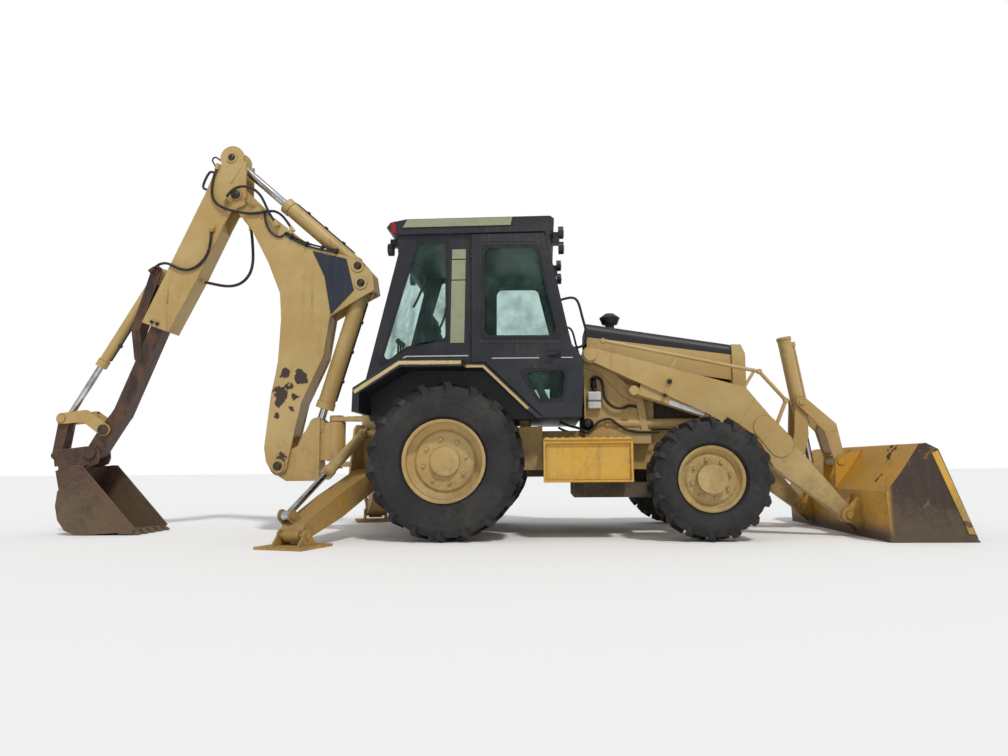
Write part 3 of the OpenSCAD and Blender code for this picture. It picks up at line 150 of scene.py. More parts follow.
def only(made, kind):
    """The points, edges or faces among all that an operator made"""
    return [piece for piece in made if isinstance(piece, kind)]


def tube(bm, path, radius, sides=12):
    """A tube along a path: a ring that is extruded from point to point, and turned with the path"""
    here = Matrix.Translation(path[0]) @ (path[1] - path[0]).to_track_quat("Z", "Y").to_matrix().to_4x4()
    ring = bmesh.ops.create_circle(bm, cap_ends=True, segments=sides, radius=radius, matrix=here)["verts"]
    edges = [e for e in bm.edges if e.verts[0] in ring and e.verts[1] in ring]
    for i in range(1, len(path)):
        ahead = (path[min(i + 1, len(path) - 1)] - path[i - 1]).normalized()
        bend = here.to_3x3().col[2].rotation_difference(ahead).to_matrix()
        there = Matrix.Translation(path[i]) @ (bend @ here.to_3x3()).to_4x4()
        made = bmesh.ops.extrude_edge_only(bm, edges=edges)["geom"]
        verts = only(made, bmesh.types.BMVert)
        edges = [e for e in only(made, bmesh.types.BMEdge) if e.verts[0] in verts and e.verts[1] in verts]
        bmesh.ops.transform(bm, matrix=there @ here.inverted(), verts=verts)
        here = there
    bmesh.ops.edgenet_fill(bm, edges=edges)


def smooth_path(points, steps=4):
    """A path with extra points on a curve through the given ones"""
    out = []
    for i in range(len(points) - 1):
        a, b = points[i], points[i + 1]
        before = points[i - 1] if i else a
        after = points[i + 2] if i + 2 < len(points) else b
        for k in range(steps):
            t = k / steps
            ma, mb = (b - before) / 2, (after - a) / 2
            out.append((2*t**3 - 3*t**2 + 1) * a + (t**3 - 2*t**2 + t) * ma
                       + (3*t**2 - 2*t**3) * b + (t**3 - t**2) * mb)
    return out + [points[-1]]


print("helpers ready")

# %% [markdown]
# ## Cords
# Three hydraulic hoses bend across the stick's hinge and one across the sliding stick. Their points are
# the ones of the solid model. A hose could hang by a simulation, but a pressed hydraulic hose is stiff
# and keeps its bend, so each is a smoothed tube.

# %% Routes of the hoses
HOSE_LOOP = [(-2044, 0, 2915), (-2034, 0, 2845), (-2026, 0, 2770), (-2020, 0, 2695), (-2018, 0, 2620),
             (-2026, 0, 2545), (-2050, 0, 2475), (-2096, 0, 2415), (-2160, 0, 2376), (-2235, 0, 2362),
             (-2310, 0, 2367), (-2384, 0, 2382), (-2440, 0, 2395), (-2490, 0, 2407)]
HOSE_PIVOT = [(-2362, -122, 3500), (-2384, -122, 3430), (-2396, -122, 3357), (-2398, -123, 3282),
              (-2383, -126, 3210), (-2340, -130, 3150), (-2278, -135, 3108), (-2208, -141, 3080),
              (-2134, -147, 3058), (-2060, -150, 3043), (-1985, -150, 3036), (-1910, -150, 3041),
              (-1836, -150, 3052), (-1762, -144, 3053), (-1700, -130, 3020), (-1652, -118, 2963),
              (-1612, -118, 2905)]
HOSE_ARCH = [(-2225, -178, 3200), (-2178, -178, 3258), (-2115, -178, 3292), (-2042, -178, 3296),
             (-1966, -178, 3270), (-1903, -178, 3216), (-1860, -178, 3148), (-1826, -178, 3076),
             (-1790, -178, 3007), (-1750, -178, 2945)]
HOSE_STICK = [(-2386, -124, 2870), (-2392, -124, 2795), (-2402, -124, 2720), (-2424, -124, 2648),
              (-2466, -124, 2582), (-2525, -124, 2530), (-2597, -124, 2503), (-2673, -124, 2508),
              (-2745, -122, 2538), (-2815, -118, 2570), (-2888, -112, 2568), (-2945, -112, 2530)]
HOSES = [  # node, points, diameter in mm, body at the first point, body at the last point
    ("hose_loop", HOSE_LOOP, 28, "boom", "stick"),
    ("hose_pivot", HOSE_PIVOT, 25, "stick", "boom"),
    ("hose_arch", HOSE_ARCH, 25, "stick", "boom"),
    ("hose_stick", HOSE_STICK, 25, "stick", "extension"),
]


def route_length(path):
    """The length along a path, in metres"""
    return sum((b - a).length for a, b in zip(path, path[1:]))


print("hoses to lay:", [row[0] for row in HOSES])

# %% Hoses across the joints
hoses = []
for node, points, size, first, last in HOSES:
    path = smooth_path([P(*p) for p in points])
    bm = bmesh.new()
    tube(bm, path, size / 2000)
    hose = keep(bm, node + "_rubber", None, None)
    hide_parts(node)
    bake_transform(hose)
    hoses.append(hose)
    print(node, "length, m:", round(route_length(path), 3))

# %% [markdown]
# ## Light
# A soft sky and one broad sun, at the level where a colour renders about as it is written. The white
# behind the machine could come from a lit wall; here the world itself is white to the camera alone, so
# it adds no light to the paint.

# %% Sky and sun
SKY_COLOUR = (0.93, 0.96, 1, 1)
SKY_STRENGTH = 0.55
SUN_STRENGTH = 1.6
SUN_WIDTH = math.radians(6)
SUN_TURN = (math.radians(38), 0, math.radians(24))
scene = bpy.context.scene
scene.view_settings.view_transform = "Standard"
world = bpy.data.worlds.new("sky")
scene.world = world
world.use_nodes = True
sky = world.node_tree
sky.nodes.clear()
seen = sky.nodes.new("ShaderNodeLightPath")
glow = sky.nodes.new("ShaderNodeBackground")
glow.inputs["Color"].default_value = SKY_COLOUR
glow.inputs["Strength"].default_value = SKY_STRENGTH
backdrop = sky.nodes.new("ShaderNodeBackground")
backdrop.inputs["Color"].default_value = (1, 1, 1, 1)
choose = sky.nodes.new("ShaderNodeMixShader")
out = sky.nodes.new("ShaderNodeOutputWorld")
sky.links.new(seen.outputs["Is Camera Ray"], choose.inputs[0])
sky.links.new(glow.outputs[0], choose.inputs[1])
sky.links.new(backdrop.outputs[0], choose.inputs[2])
sky.links.new(choose.outputs[0], out.inputs["Surface"])

sun = bpy.data.lights.new("sun", "SUN")
sun.energy = SUN_STRENGTH
sun.angle = SUN_WIDTH
sun.color = (1, 0.97, 0.92)
lamp = bpy.data.objects.new("sun", sun)
lamp.rotation_euler = SUN_TURN
scene.collection.objects.link(lamp)
print("sun and sky made")

# %% [markdown]
# ## Growing node trees
# A finish is a tree of nodes. Wired by hand it is hard to read in a script, so each common node gets a
# small function that takes numbers, colours or other nodes' outputs, and gives its own output back. A
# formula then reads from the inside out. All patterns sit on the object's coordinates, in metres.

# %% Helpers for node trees
def add(tree, kind, **values):
    """A node with some of its settings"""
    made = tree.nodes.new(kind)
    for key, value in values.items():
        setattr(made, key, value)
    return made


def on_object(tree):
    """The object's coordinates, in metres"""
    return add(tree, "ShaderNodeTexCoord").outputs["Object"]


def parts_of(tree, vector):
    """The X, Y and Z of a vector"""
    split = add(tree, "ShaderNodeSeparateXYZ")
    tree.links.new(vector, split.inputs[0])
    return split.outputs


def facing_of(tree):
    """The X, Y and Z of the direction that the surface faces, in the object's own axes"""
    return parts_of(tree, add(tree, "ShaderNodeTexCoord").outputs["Normal"])


def fill(socket, tree, value):
    """A socket takes a number, a colour or another node's output"""
    if isinstance(value, bpy.types.NodeSocket):
        tree.links.new(value, socket)
    else:
        socket.default_value = value


def noise(tree, where, scale, detail=4, rough=0.55, distort=0):
    """Noise on the object's coordinates"""
    made = add(tree, "ShaderNodeTexNoise")
    made.inputs["Scale"].default_value = scale
    made.inputs["Detail"].default_value = detail
    made.inputs["Roughness"].default_value = rough
    made.inputs["Distortion"].default_value = distort
    tree.links.new(where, made.inputs["Vector"])
    return made.outputs["Fac"]


def stretch(tree, where, factors):
    """Coordinates scaled by three factors, for a pattern that runs one way"""
    made = add(tree, "ShaderNodeMapping")
    made.inputs["Scale"].default_value = factors
    tree.links.new(where, made.inputs["Vector"])
    return made.outputs["Vector"]


def ramp(tree, value, low, high):
    """0 below low, 1 above high, smooth between"""
    made = add(tree, "ShaderNodeMapRange", interpolation_type="SMOOTHSTEP")
    fill(made.inputs["Value"], tree, value)
    fill(made.inputs["From Min"], tree, low)
    fill(made.inputs["From Max"], tree, high)
    return made.outputs["Result"]


def calc(tree, what, a, b=0.0):
    """One sum on two values"""
    made = add(tree, "ShaderNodeMath", operation=what)
    fill(made.inputs[0], tree, a)
    fill(made.inputs[1], tree, b)
    return made.outputs[0]


def plus(tree, a, b):
    return calc(tree, "ADD", a, b)


def times(tree, a, b):
    return calc(tree, "MULTIPLY", a, b)


def mix(tree, mask, a, b):
    """Colour a where the mask is 0, b where it is 1"""
    made = add(tree, "ShaderNodeMix", data_type="RGBA")
    fill(made.inputs["Factor"], tree, mask)
    fill(made.inputs["A"], tree, a)
    fill(made.inputs["B"], tree, b)
    return made.outputs["Result"]


def new_group(name, ins, outs):
    """An empty node group with those sockets, and its input and output nodes"""
    tree = bpy.data.node_groups.new(name, "ShaderNodeTree")
    for label, kind, value in ins:
        made = tree.interface.new_socket(label, in_out="INPUT", socket_type=kind)
        if value is not None:
            made.default_value = value
    for label, kind in outs:
        tree.interface.new_socket(label, in_out="OUTPUT", socket_type=kind)
    return tree, tree.nodes.new("NodeGroupInput"), tree.nodes.new("NodeGroupOutput")


FLOAT, VECTOR = "NodeSocketFloat", "NodeSocketVector"
print("node helpers ready")


# %% [markdown]
# ## Shared effects
# Five node groups carry the history that all the steel shares: chipped edges, ground dirt, rain
# streaks, flaked patches and a skin of small dents. A group is built once and placed in each material
# with its own values. It only gives masks and normals, so each material decides on its colours.
#
# Paint goes first where a hand, a boot or a stone hits an edge. An edge could be found by the angle of
# the faces, but the Bevel node finds it on any mesh: its rounded normal leaves the true one there.

# %% Chipped edges
def make_edges():
    """1 on edges whose paint has gone: where a rounded normal leaves the true one, broken by noise"""
    inputs = [("Radius", FLOAT, 0.006), ("Amount", FLOAT, 0.5)]
    tree, given, out = new_group("Chipped edges", inputs, [("Mask", FLOAT)])
    where = on_object(tree)
    soft = add(tree, "ShaderNodeBevel", samples=6)
    tree.links.new(given.outputs["Radius"], soft.inputs["Radius"])
    true = add(tree, "ShaderNodeNewGeometry").outputs["Normal"]
    dot = add(tree, "ShaderNodeVectorMath", operation="DOT_PRODUCT")
    tree.links.new(soft.outputs[0], dot.inputs[0])
    tree.links.new(true, dot.inputs[1])
    bend = calc(tree, "SUBTRACT", 1.0, dot.outputs["Value"])
    broken = noise(tree, where, 9, 6, 0.65)
    fine = noise(tree, where, 60, 3)
    gate = times(tree, broken, plus(tree, fine, 0.5))
    level = calc(tree, "SUBTRACT", 0.62, times(tree, given.outputs["Amount"], 0.4))
    open_gate = ramp(tree, gate, level, plus(tree, level, 0.06))
    mask = times(tree, ramp(tree, bend, 0.03, 0.14), open_gate)
    tree.links.new(mask, out.inputs["Mask"])
    return tree


edges_group = make_edges()
print(edges_group.name)

# %% [markdown]
# Mud thins out with height, and dust stays on what looks up. The two could be painted by hand on each
# piece, but height and facing are known at each point, so one group does it for the whole machine.

# %% Dirt from the ground
def make_dirt():
    """Dust and mud that thin out with height, and lie on faces that look up"""
    inputs = [("Top", FLOAT, 1.2), ("Amount", FLOAT, 0.6)]
    tree, given, out = new_group("Ground dirt", inputs, [("Mask", FLOAT)])
    where = on_object(tree)
    low = calc(tree, "SUBTRACT", 1.0, ramp(tree, parts_of(tree, where)["Z"], 0.0, given.outputs["Top"]))
    ledge = times(tree, ramp(tree, facing_of(tree)["Z"], 0.4, 0.95), 0.35)
    spots = times(tree, noise(tree, where, 3.2, 7, 0.6), plus(tree, noise(tree, where, 28, 4), 0.45))
    laid = plus(tree, times(tree, low, 0.75), ledge)
    caught = ramp(tree, plus(tree, spots, times(tree, laid, 0.55)), 0.52, 0.98)
    tree.links.new(times(tree, caught, given.outputs["Amount"]), out.inputs["Mask"])
    return tree


dirt_group = make_dirt()
print(dirt_group.name)

# %% [markdown]
# Rain carries rust down a wall in narrow runs: noise that is stretched far along Z. Old paint lets go in
# ragged islands instead: one level cut through deep noise gives the island, and a second, softer level
# tells how far a point lies inside it.

# %% Streaks and flaked patches
def make_streaks():
    """Narrow runs down a wall, stronger in a few places"""
    tree, given, out = new_group("Rain streaks", [("Amount", FLOAT, 0.4)], [("Mask", FLOAT)])
    where = on_object(tree)
    runs = noise(tree, stretch(tree, where, (14, 14, 0.9)), 1.6, 5, 0.6)
    patches = noise(tree, where, 1.3, 3)
    mask = times(tree, ramp(tree, runs, 0.52, 0.72), ramp(tree, patches, 0.42, 0.66))
    tree.links.new(times(tree, mask, given.outputs["Amount"]), out.inputs["Mask"])
    return tree


def make_rust():
    """Ragged patches where the coat has flaked, with a darker middle"""
    inputs = [("Cover", FLOAT, 0.3), ("Scale", FLOAT, 3.0)]
    tree, given, out = new_group("Flaked patches", inputs, [("Mask", FLOAT), ("Depth", FLOAT)])
    where = on_object(tree)
    broad = add(tree, "ShaderNodeTexNoise")
    broad.inputs["Detail"].default_value = 9
    broad.inputs["Roughness"].default_value = 0.62
    tree.links.new(where, broad.inputs["Vector"])
    tree.links.new(given.outputs["Scale"], broad.inputs["Scale"])
    level = calc(tree, "SUBTRACT", 0.72, times(tree, given.outputs["Cover"], 0.42))
    for label, softness in (("Mask", 0.02), ("Depth", 0.14)):
        inside = ramp(tree, broad.outputs["Fac"], level, plus(tree, level, softness))
        tree.links.new(inside, out.inputs[label])
    return tree


streaks_group = make_streaks()
rust_group = make_rust()
print(streaks_group.name, "and", rust_group.name)

# %% [markdown]
# Sprayed paint has orange peel, and a plate that works has shallow dents. Both are far too small to
# model, so they are heights that a Bump node turns into a normal. Each material adds a height of its own.

# %% Skin of the steel
def make_skin():
    """Orange peel and small dents as a normal"""
    inputs = [("Fine", FLOAT, 0.15), ("Dents", FLOAT, 0.2), ("Height", FLOAT, 0.0)]
    tree, given, out = new_group("Steel skin", inputs, [("Normal", VECTOR)])
    where = on_object(tree)
    peel = times(tree, noise(tree, where, 190, 2), given.outputs["Fine"])
    dents = times(tree, noise(tree, where, 11, 3), given.outputs["Dents"])
    height = plus(tree, plus(tree, peel, dents), given.outputs["Height"])
    bump = add(tree, "ShaderNodeBump")
    bump.inputs["Strength"].default_value = 0.35
    bump.inputs["Distance"].default_value = 0.004
    tree.links.new(height, bump.inputs["Height"])
    tree.links.new(bump.outputs[0], out.inputs["Normal"])
    return tree


skin_group = make_skin()
print(skin_group.name)

# %% [markdown]
# ## Placing the groups
# Each material starts the same way and places some of the groups above. Three short functions do it, so
# that a finish below reads as a list of what has happened to the surface, from the coat to the mud.

# %% Helpers for materials
def use(tree, group, **values):
    """A shared group placed in a material"""
    made = add(tree, "ShaderNodeGroup", node_tree=group)
    for label, value in values.items():
        fill(made.inputs[label], tree, value)
    return made


def blank(name):
    """A material with only its shader and output"""
    made = bpy.data.materials.new(name)
    made.use_nodes = True
    shader = made.node_tree.nodes["Principled BSDF"]
    return made, made.node_tree, shader


def skin(tree, shader, fine, dents, height=0.0):
    """The shared skin on a shader's normal"""
    laid = use(tree, skin_group, Fine=fine, Dents=dents, Height=height)
    fill(shader.inputs["Normal"], tree, laid.outputs["Normal"])


print("material helpers ready")


# %% [markdown]
# ## Paint
# The machine is sprayed in a faded tan, and its cab is near black. The boxes, the stabiliser legs and the
# loader bucket are a brighter, warmer orange-yellow: painted sunlight, a lit copy of the same yellow coat.
# One function
# makes every painted finish: the coat fades in blotches, chips on edges to rust, flakes in patches, and
# gathers dirt below. A photo texture would show more at one place and slide on the rest; these layers hold at
# every side and on every body.

# %% Painted steel
RUST = srgb(92, 58, 38)
RUST_DARK = srgb(52, 38, 32)
RUNS = srgb(96, 78, 46)
MUD = srgb(112, 96, 72)
PAINT_CHIP = 0.007  # width of a worn edge, in metres


def painted(name, coat, faded, chips=0.4, flakes=0.1, dirt=0.5, top=1.1, gloss=0.42, pattern=None):
    """A worn coat of paint; pattern(tree, where, colour) may change its colour from place to place"""
    made, tree, shader = blank(name)
    where = on_object(tree)
    blotch = ramp(tree, noise(tree, where, 2.1, 5, 0.6), 0.35, 0.68)
    colour = mix(tree, blotch, coat, faded)
    if pattern:
        colour = pattern(tree, where, colour)
    streak = use(tree, streaks_group, Amount=0.35).outputs["Mask"]
    colour = mix(tree, streak, colour, RUNS)
    patch = use(tree, rust_group, Cover=flakes, Scale=3.4)
    edge = use(tree, edges_group, Radius=PAINT_CHIP, Amount=chips).outputs["Mask"]
    bare = calc(tree, "MAXIMUM", edge, patch.outputs["Mask"])
    rust = mix(tree, noise(tree, where, 40, 4), RUST, RUST_DARK)
    colour = mix(tree, bare, colour, rust)
    mud = use(tree, dirt_group, Top=top, Amount=dirt).outputs["Mask"]
    colour = mix(tree, mud, colour, MUD)
    fill(shader.inputs["Base Color"], tree, colour)
    rough = plus(tree, gloss, times(tree, calc(tree, "MAXIMUM", bare, mud), 0.42))
    rough = plus(tree, rough, times(tree, noise(tree, where, 7, 4), 0.12))
    fill(shader.inputs["Roughness"], tree, rough)
    skin(tree, shader, 0.12, 0.5, times(tree, bare, -0.6))
    return made


TAN = srgb(184, 152, 92)
TAN_PALE = srgb(194, 168, 112)
tan = painted("tan_paint", TAN, TAN_PALE)
# Orange-yellow paint: painted sunlight, a brighter and warmer lit copy of the yellow coat for the parts in
# the sun
sunny = painted("sunlit_yellow_paint", srgb(214, 163, 52), srgb(206, 164, 76), chips=0.7, flakes=0.25,
                dirt=0.6, top=0.9)
navy = painted("dark_cab_paint", srgb(30, 32, 38), srgb(44, 46, 52), chips=0.2, flakes=0.0, dirt=0.35,
               gloss=0.34)
print("paints:", tan.name, sunny.name, navy.name)

# %% [markdown]
# ## Bare steel
# The backhoe bucket digs its paint off, castings never had much, and pins are black with grease. All
# three are one mix of two browns with rust on top, edges that shine and mud below. They differ only in
# their colours and in how much they shine, so they share a function.

# %% Rusty steel, cast iron and grease
STEEL_CHIP = 0.009  # width of a shiny edge, in metres
BRIGHT_STEEL = srgb(128, 118, 106)


def buried_iron(name, colour, worn, cover, rough=0.62, metal=0.0, dirt=0.6, top=1.0):
    """Bare or rusty steel: blotches of two colours, scratches that shine, and mud below"""
    made, tree, shader = blank(name)
    where = on_object(tree)
    base = mix(tree, ramp(tree, noise(tree, where, 4.5, 8, 0.65), 0.36, 0.66), colour, worn)
    base = mix(tree, ramp(tree, noise(tree, where, 46, 5), 0.45, 0.75), base, RUST_DARK)
    patch = use(tree, rust_group, Cover=cover, Scale=2.2)
    base = mix(tree, times(tree, patch.outputs["Depth"], 0.8), base, RUST)
    edge = use(tree, edges_group, Radius=STEEL_CHIP, Amount=0.9).outputs["Mask"]
    base = mix(tree, edge, base, BRIGHT_STEEL)
    mud = use(tree, dirt_group, Top=top, Amount=dirt).outputs["Mask"]
    base = mix(tree, mud, base, MUD)
    fill(shader.inputs["Base Color"], tree, base)
    dull = plus(tree, rough, times(tree, noise(tree, where, 9, 5), 0.2))
    fill(shader.inputs["Roughness"], tree, calc(tree, "SUBTRACT", dull, times(tree, edge, 0.3)))
    fill(shader.inputs["Metallic"], tree, plus(tree, metal, times(tree, edge, 0.6)))
    skin(tree, shader, 0.5, 1.0, noise(tree, where, 60, 5))
    return made


rusty = buried_iron("rusty_steel", srgb(96, 68, 52), srgb(70, 54, 46), 0.5)
iron = buried_iron("cast_iron", srgb(52, 50, 48), srgb(74, 68, 60), 0.3)
grease = buried_iron("greased_pins", srgb(34, 31, 29), srgb(52, 46, 40), 0.15, rough=0.4, dirt=0.3)
print("steel finishes ready")

# %% [markdown]
# ## Chrome
# A rod slides through a seal, so it stays bright, with a film of oil in patches and fine scratches.
# Plain metal with an even roughness would look like a mirror; the film takes the shine down in places.

# %% Chrome rods
def chromed():
    """Hard chrome with an oil film in patches and a few scratches"""
    made, tree, shader = blank("chrome_rods")
    where = on_object(tree)
    film = ramp(tree, noise(tree, where, 6, 5), 0.4, 0.7)
    fill(shader.inputs["Base Color"], tree, mix(tree, film, srgb(214, 216, 218), srgb(158, 152, 142)))
    shader.inputs["Metallic"].default_value = 1
    scratch = ramp(tree, noise(tree, stretch(tree, where, (3, 90, 90)), 2, 3), 0.6, 0.66)
    marked = plus(tree, times(tree, scratch, 0.2), 0.12)
    fill(shader.inputs["Roughness"], tree, plus(tree, times(tree, film, 0.22), marked))
    return made


chrome = chromed()
print(chrome.name)

# %% [markdown]
# ## Tyres
# Old rubber isn't black: it greys, cracks finely and holds dust. The lugs are solids already, so the
# material only brings what is too small to cut: a net of cracks from a Voronoi texture, and grain.

# %% Tyre rubber
def rubber(name):
    """Dusty black rubber with worn blotches, fine cracks and dried dust"""
    made, tree, shader = blank(name)
    where = on_object(tree)
    worn = mix(tree, ramp(tree, noise(tree, where, 5, 6), 0.35, 0.7), srgb(24, 24, 27), srgb(38, 38, 39))
    dust = times(tree, noise(tree, where, 3.2, 7, 0.6), plus(tree, noise(tree, where, 30, 4), 0.5))
    worn = mix(tree, times(tree, ramp(tree, dust, 0.42, 0.75), 0.26), worn, srgb(86, 80, 68))
    fill(shader.inputs["Base Color"], tree, worn)
    fill(shader.inputs["Roughness"], tree, plus(tree, 0.56, times(tree, noise(tree, where, 12, 4), 0.26)))
    cracks = add(tree, "ShaderNodeTexVoronoi", feature="DISTANCE_TO_EDGE")
    cracks.inputs["Scale"].default_value = 34
    tree.links.new(where, cracks.inputs["Vector"])
    closed = times(tree, ramp(tree, cracks.outputs["Distance"], 0.0, 0.05), 0.35)
    skin(tree, shader, 0.6, 0.4, plus(tree, closed, noise(tree, where, 90, 3)))
    return made


tyre = rubber("tyre_rubber")
print(tyre.name)

# %% [markdown]
# ## Window glass
# The cab's panes are green safety glass. A refracting shader would need the pane's two faces to be
# perfect and renders slowly; thin flat glass hardly bends light, so a clear shader is mixed with a
# glossy one. A pane has two faces, so the tint is passed twice, and dust adds to the glossy share.

# %% Window glass
PANE_TINT = (0.9, 0.97, 0.955, 1)
PANE_SHEEN = 0.09
PANE_DUST = 0.3


def window_glass():
    """Green-tinted safety glass, mixed with clear so that the cab shows through, with patches of dust"""
    made = bpy.data.materials.new("cab_glass_tinted")
    made.use_nodes = True
    tree = made.node_tree
    tree.nodes.clear()
    out = add(tree, "ShaderNodeOutputMaterial")
    where = on_object(tree)
    clear = add(tree, "ShaderNodeBsdfTransparent")
    clear.inputs["Color"].default_value = PANE_TINT
    sheen = add(tree, "ShaderNodeBsdfPrincipled")
    sheen.inputs["Roughness"].default_value = 0.06
    sheen.inputs["Base Color"].default_value = srgb(74, 100, 92)
    dusty = times(tree, ramp(tree, noise(tree, where, 3, 6, 0.6), 0.42, 0.75), PANE_DUST)
    share = plus(tree, PANE_SHEEN, dusty)
    both = add(tree, "ShaderNodeMixShader")
    tree.links.new(share, both.inputs[0])
    tree.links.new(clear.outputs[0], both.inputs[1])
    tree.links.new(sheen.outputs[0], both.inputs[2])
    tree.links.new(both.outputs[0], out.inputs["Surface"])
    return made


glass = window_glass()
print(glass.name)

# %% [markdown]
# ## Plastic, vinyl and hose
# Inside the cab everything is moulded: console, wheel, seat. Moulded skin has a grain pressed into it
# and turns grey where hands rub. Hoses are the same with finer grain, so one function makes all three.

# %% Plastic, vinyl and hose rubber
SCUFFED = srgb(120, 112, 100)


def moulded(name, colour, worn, rough, grain=120, scuffs=0.4):
    """Moulded plastic or vinyl with grain, scuffs and dust"""
    made, tree, shader = blank(name)
    where = on_object(tree)
    base = mix(tree, ramp(tree, noise(tree, where, 8, 6), 0.4, 0.7), colour, worn)
    scuff = times(tree, ramp(tree, noise(tree, stretch(tree, where, (30, 8, 8)), 2, 5), 0.6, 0.7), scuffs)
    base = mix(tree, scuff, base, SCUFFED)
    fill(shader.inputs["Base Color"], tree, base)
    fill(shader.inputs["Roughness"], tree, plus(tree, rough, times(tree, noise(tree, where, 14, 4), 0.2)))
    skin(tree, shader, 0.8, 0.2, noise(tree, where, grain, 2))
    return made


trim = moulded("cab_plastic", srgb(40, 40, 42), srgb(58, 56, 54), 0.5)
vinyl = moulded("seat_vinyl", srgb(34, 33, 35), srgb(52, 48, 46), 0.42, grain=70)
hose_rubber = moulded("hose_rubber", srgb(26, 26, 27), srgb(52, 48, 44), 0.55, grain=200)
print("plastics ready")

# %% [markdown]
# ## Places with a look of their own
# The hood has two colours: its upper band is near black, and its side panels are tan like the frame.
# A second material on some faces would need the mesh to be cut along the line; a mask that reads the
# height of each point draws a straight line across any mesh.

# %% Hood in two colours
HOOD_FALL = 0.141  # metres down for each metre forward
HOOD_SPLIT = P(1349, 0, 1705)
HOOD_BLACK = srgb(27, 29, 34)
SPRAY_EDGE = 0.002


def band(tree, where, colour):
    """Dark above a line that falls toward the nose, tan below"""
    place = parts_of(tree, where)
    fallen = plus(tree, place["Z"], times(tree, place["X"], HOOD_FALL))
    line = HOOD_SPLIT.z + HOOD_FALL * HOOD_SPLIT.x
    return mix(tree, ramp(tree, fallen, line, line + SPRAY_EDGE), colour, HOOD_BLACK)


print("hood's line falls", HOOD_FALL, "m a metre")

# %% [markdown]
# The boom's lower end has lost its paint in a few large flakes, always at the same places. Noise alone
# would put them anywhere, so each is a disc round a measured point, whose rim is made ragged by noise.

# %% Bare patches on the boom
BARE_BOOM = srgb(64, 48, 42)
RAGGED = 0.16
BOOM_SPOTS = [  # x, z and radius in mm
    (-1622, 1478, 46), (-1466, 1457, 66), (-1657, 1286, 72), (-1529, 1265, 24), (-1603, 1350, 40),
    (-1685, 1190, 26), (-1560, 1150, 22), (-1700, 1080, 30), (-1640, 700, 44),
]


def at_spots(tree, where, places):
    """1 on ragged patches round points of the side"""
    place = parts_of(tree, where)
    side = add(tree, "ShaderNodeCombineXYZ")
    tree.links.new(place["X"], side.inputs["X"])
    tree.links.new(place["Z"], side.inputs["Z"])
    ragged = times(tree, calc(tree, "SUBTRACT", noise(tree, where, 13, 6, 0.65), 0.5), RAGGED)
    found = 0.0
    for x, z, size in places:
        far = add(tree, "ShaderNodeVectorMath", operation="DISTANCE")
        tree.links.new(side.outputs[0], far.inputs[0])
        far.inputs[1].default_value = P(x, 0, z)
        reach = plus(tree, far.outputs["Value"], ragged)
        outside = ramp(tree, reach, size / 1000, size / 1000 + 0.008)
        found = calc(tree, "MAXIMUM", found, calc(tree, "SUBTRACT", 1.0, outside))
    return found


def boom_wear(tree, where, colour):
    """Bare patches where the boom has rubbed at its lower end"""
    return mix(tree, at_spots(tree, where, BOOM_SPOTS), colour, BARE_BOOM)


print("patches on the boom:", len(BOOM_SPOTS))

# %% [markdown]
# Earth polishes the loader bucket's end plates, its inside and its lower lip down to brown steel, and
# the back keeps its paint. Which of these a point is follows from the way that it faces and from where
# it lies. The sliding part of the stick is never painted for long: grease and rust run along it.

# %% Worn bucket and sliding stick
END_PLATE_Y = (1.09, 1.10)  # metres from the middle, where the bucket's end plates begin
END_PLATE_X = (3.30, 3.36)
WORN_LIP_Z = (0.03, 0.16)
SLIDE_DARK = srgb(46, 36, 32)
SLIDE_RUST = srgb(94, 62, 44)


def bucket_wear(tree, where, colour):
    """The sides and the inside have lost their paint; the back keeps it"""
    facing = facing_of(tree)
    place = parts_of(tree, where)
    side = ramp(tree, calc(tree, "ABSOLUTE", facing["Y"]), 0.7, 0.9)
    side = times(tree, side, ramp(tree, calc(tree, "ABSOLUTE", place["Y"]), *END_PLATE_Y))
    ahead = ramp(tree, place["X"], *END_PLATE_X)
    inside = ramp(tree, facing["X"], 0.2, 0.5)
    low = calc(tree, "SUBTRACT", 1.0, ramp(tree, place["Z"], *WORN_LIP_Z))
    gone = calc(tree, "MAXIMUM", times(tree, side, ahead), calc(tree, "MAXIMUM", inside, low))
    broken = ramp(tree, noise(tree, where, 5, 7, 0.6), 0.22, 0.36)
    brown = mix(tree, noise(tree, where, 22, 6), srgb(74, 54, 40), srgb(44, 34, 30))
    return mix(tree, times(tree, gone, broken), colour, brown)


def extension_wear(tree, where, colour):
    """Grease and rust in runs along the sliding faces, in place of the coat"""
    streak = ramp(tree, noise(tree, stretch(tree, where, (2.2, 6, 0.9)), 4, 6, 0.6), 0.34, 0.62)
    return mix(tree, streak, SLIDE_DARK, SLIDE_RUST)


boom_paint = painted("boom_paint", TAN, TAN_PALE, pattern=boom_wear)
# The loader bucket's orange-yellow coat is painted sunlight, a lit copy of the yellow paint; its brown worn
# steel is real wear
bucket_paint = painted("loader_bucket_paint", srgb(206, 154, 50), srgb(196, 150, 66), chips=0.7,
                       flakes=0.2, dirt=0.5, top=0.5, pattern=bucket_wear)
extension_paint = painted("extension_paint", SLIDE_DARK, SLIDE_RUST, chips=0.6, flakes=0.1, dirt=0.2,
                          pattern=extension_wear)
# The stabiliser legs' orange-yellow is painted sunlight as well
leg_paint = painted("stabiliser_paint", srgb(196, 150, 60), srgb(182, 146, 76), chips=0.6, flakes=0.15,
                    dirt=0.5)
hood_paint = painted("hood_paint", TAN, TAN_PALE, pattern=band)
print("worn paints:", boom_paint.name, bucket_paint.name, extension_paint.name)

# %% [markdown]
# ## Dressing the nodes
# The record says which slot each solid belongs to, so a table from slot to finish dresses them all in
# one loop. Those with a look of their own follow after it, and the hoses take their rubber here too.

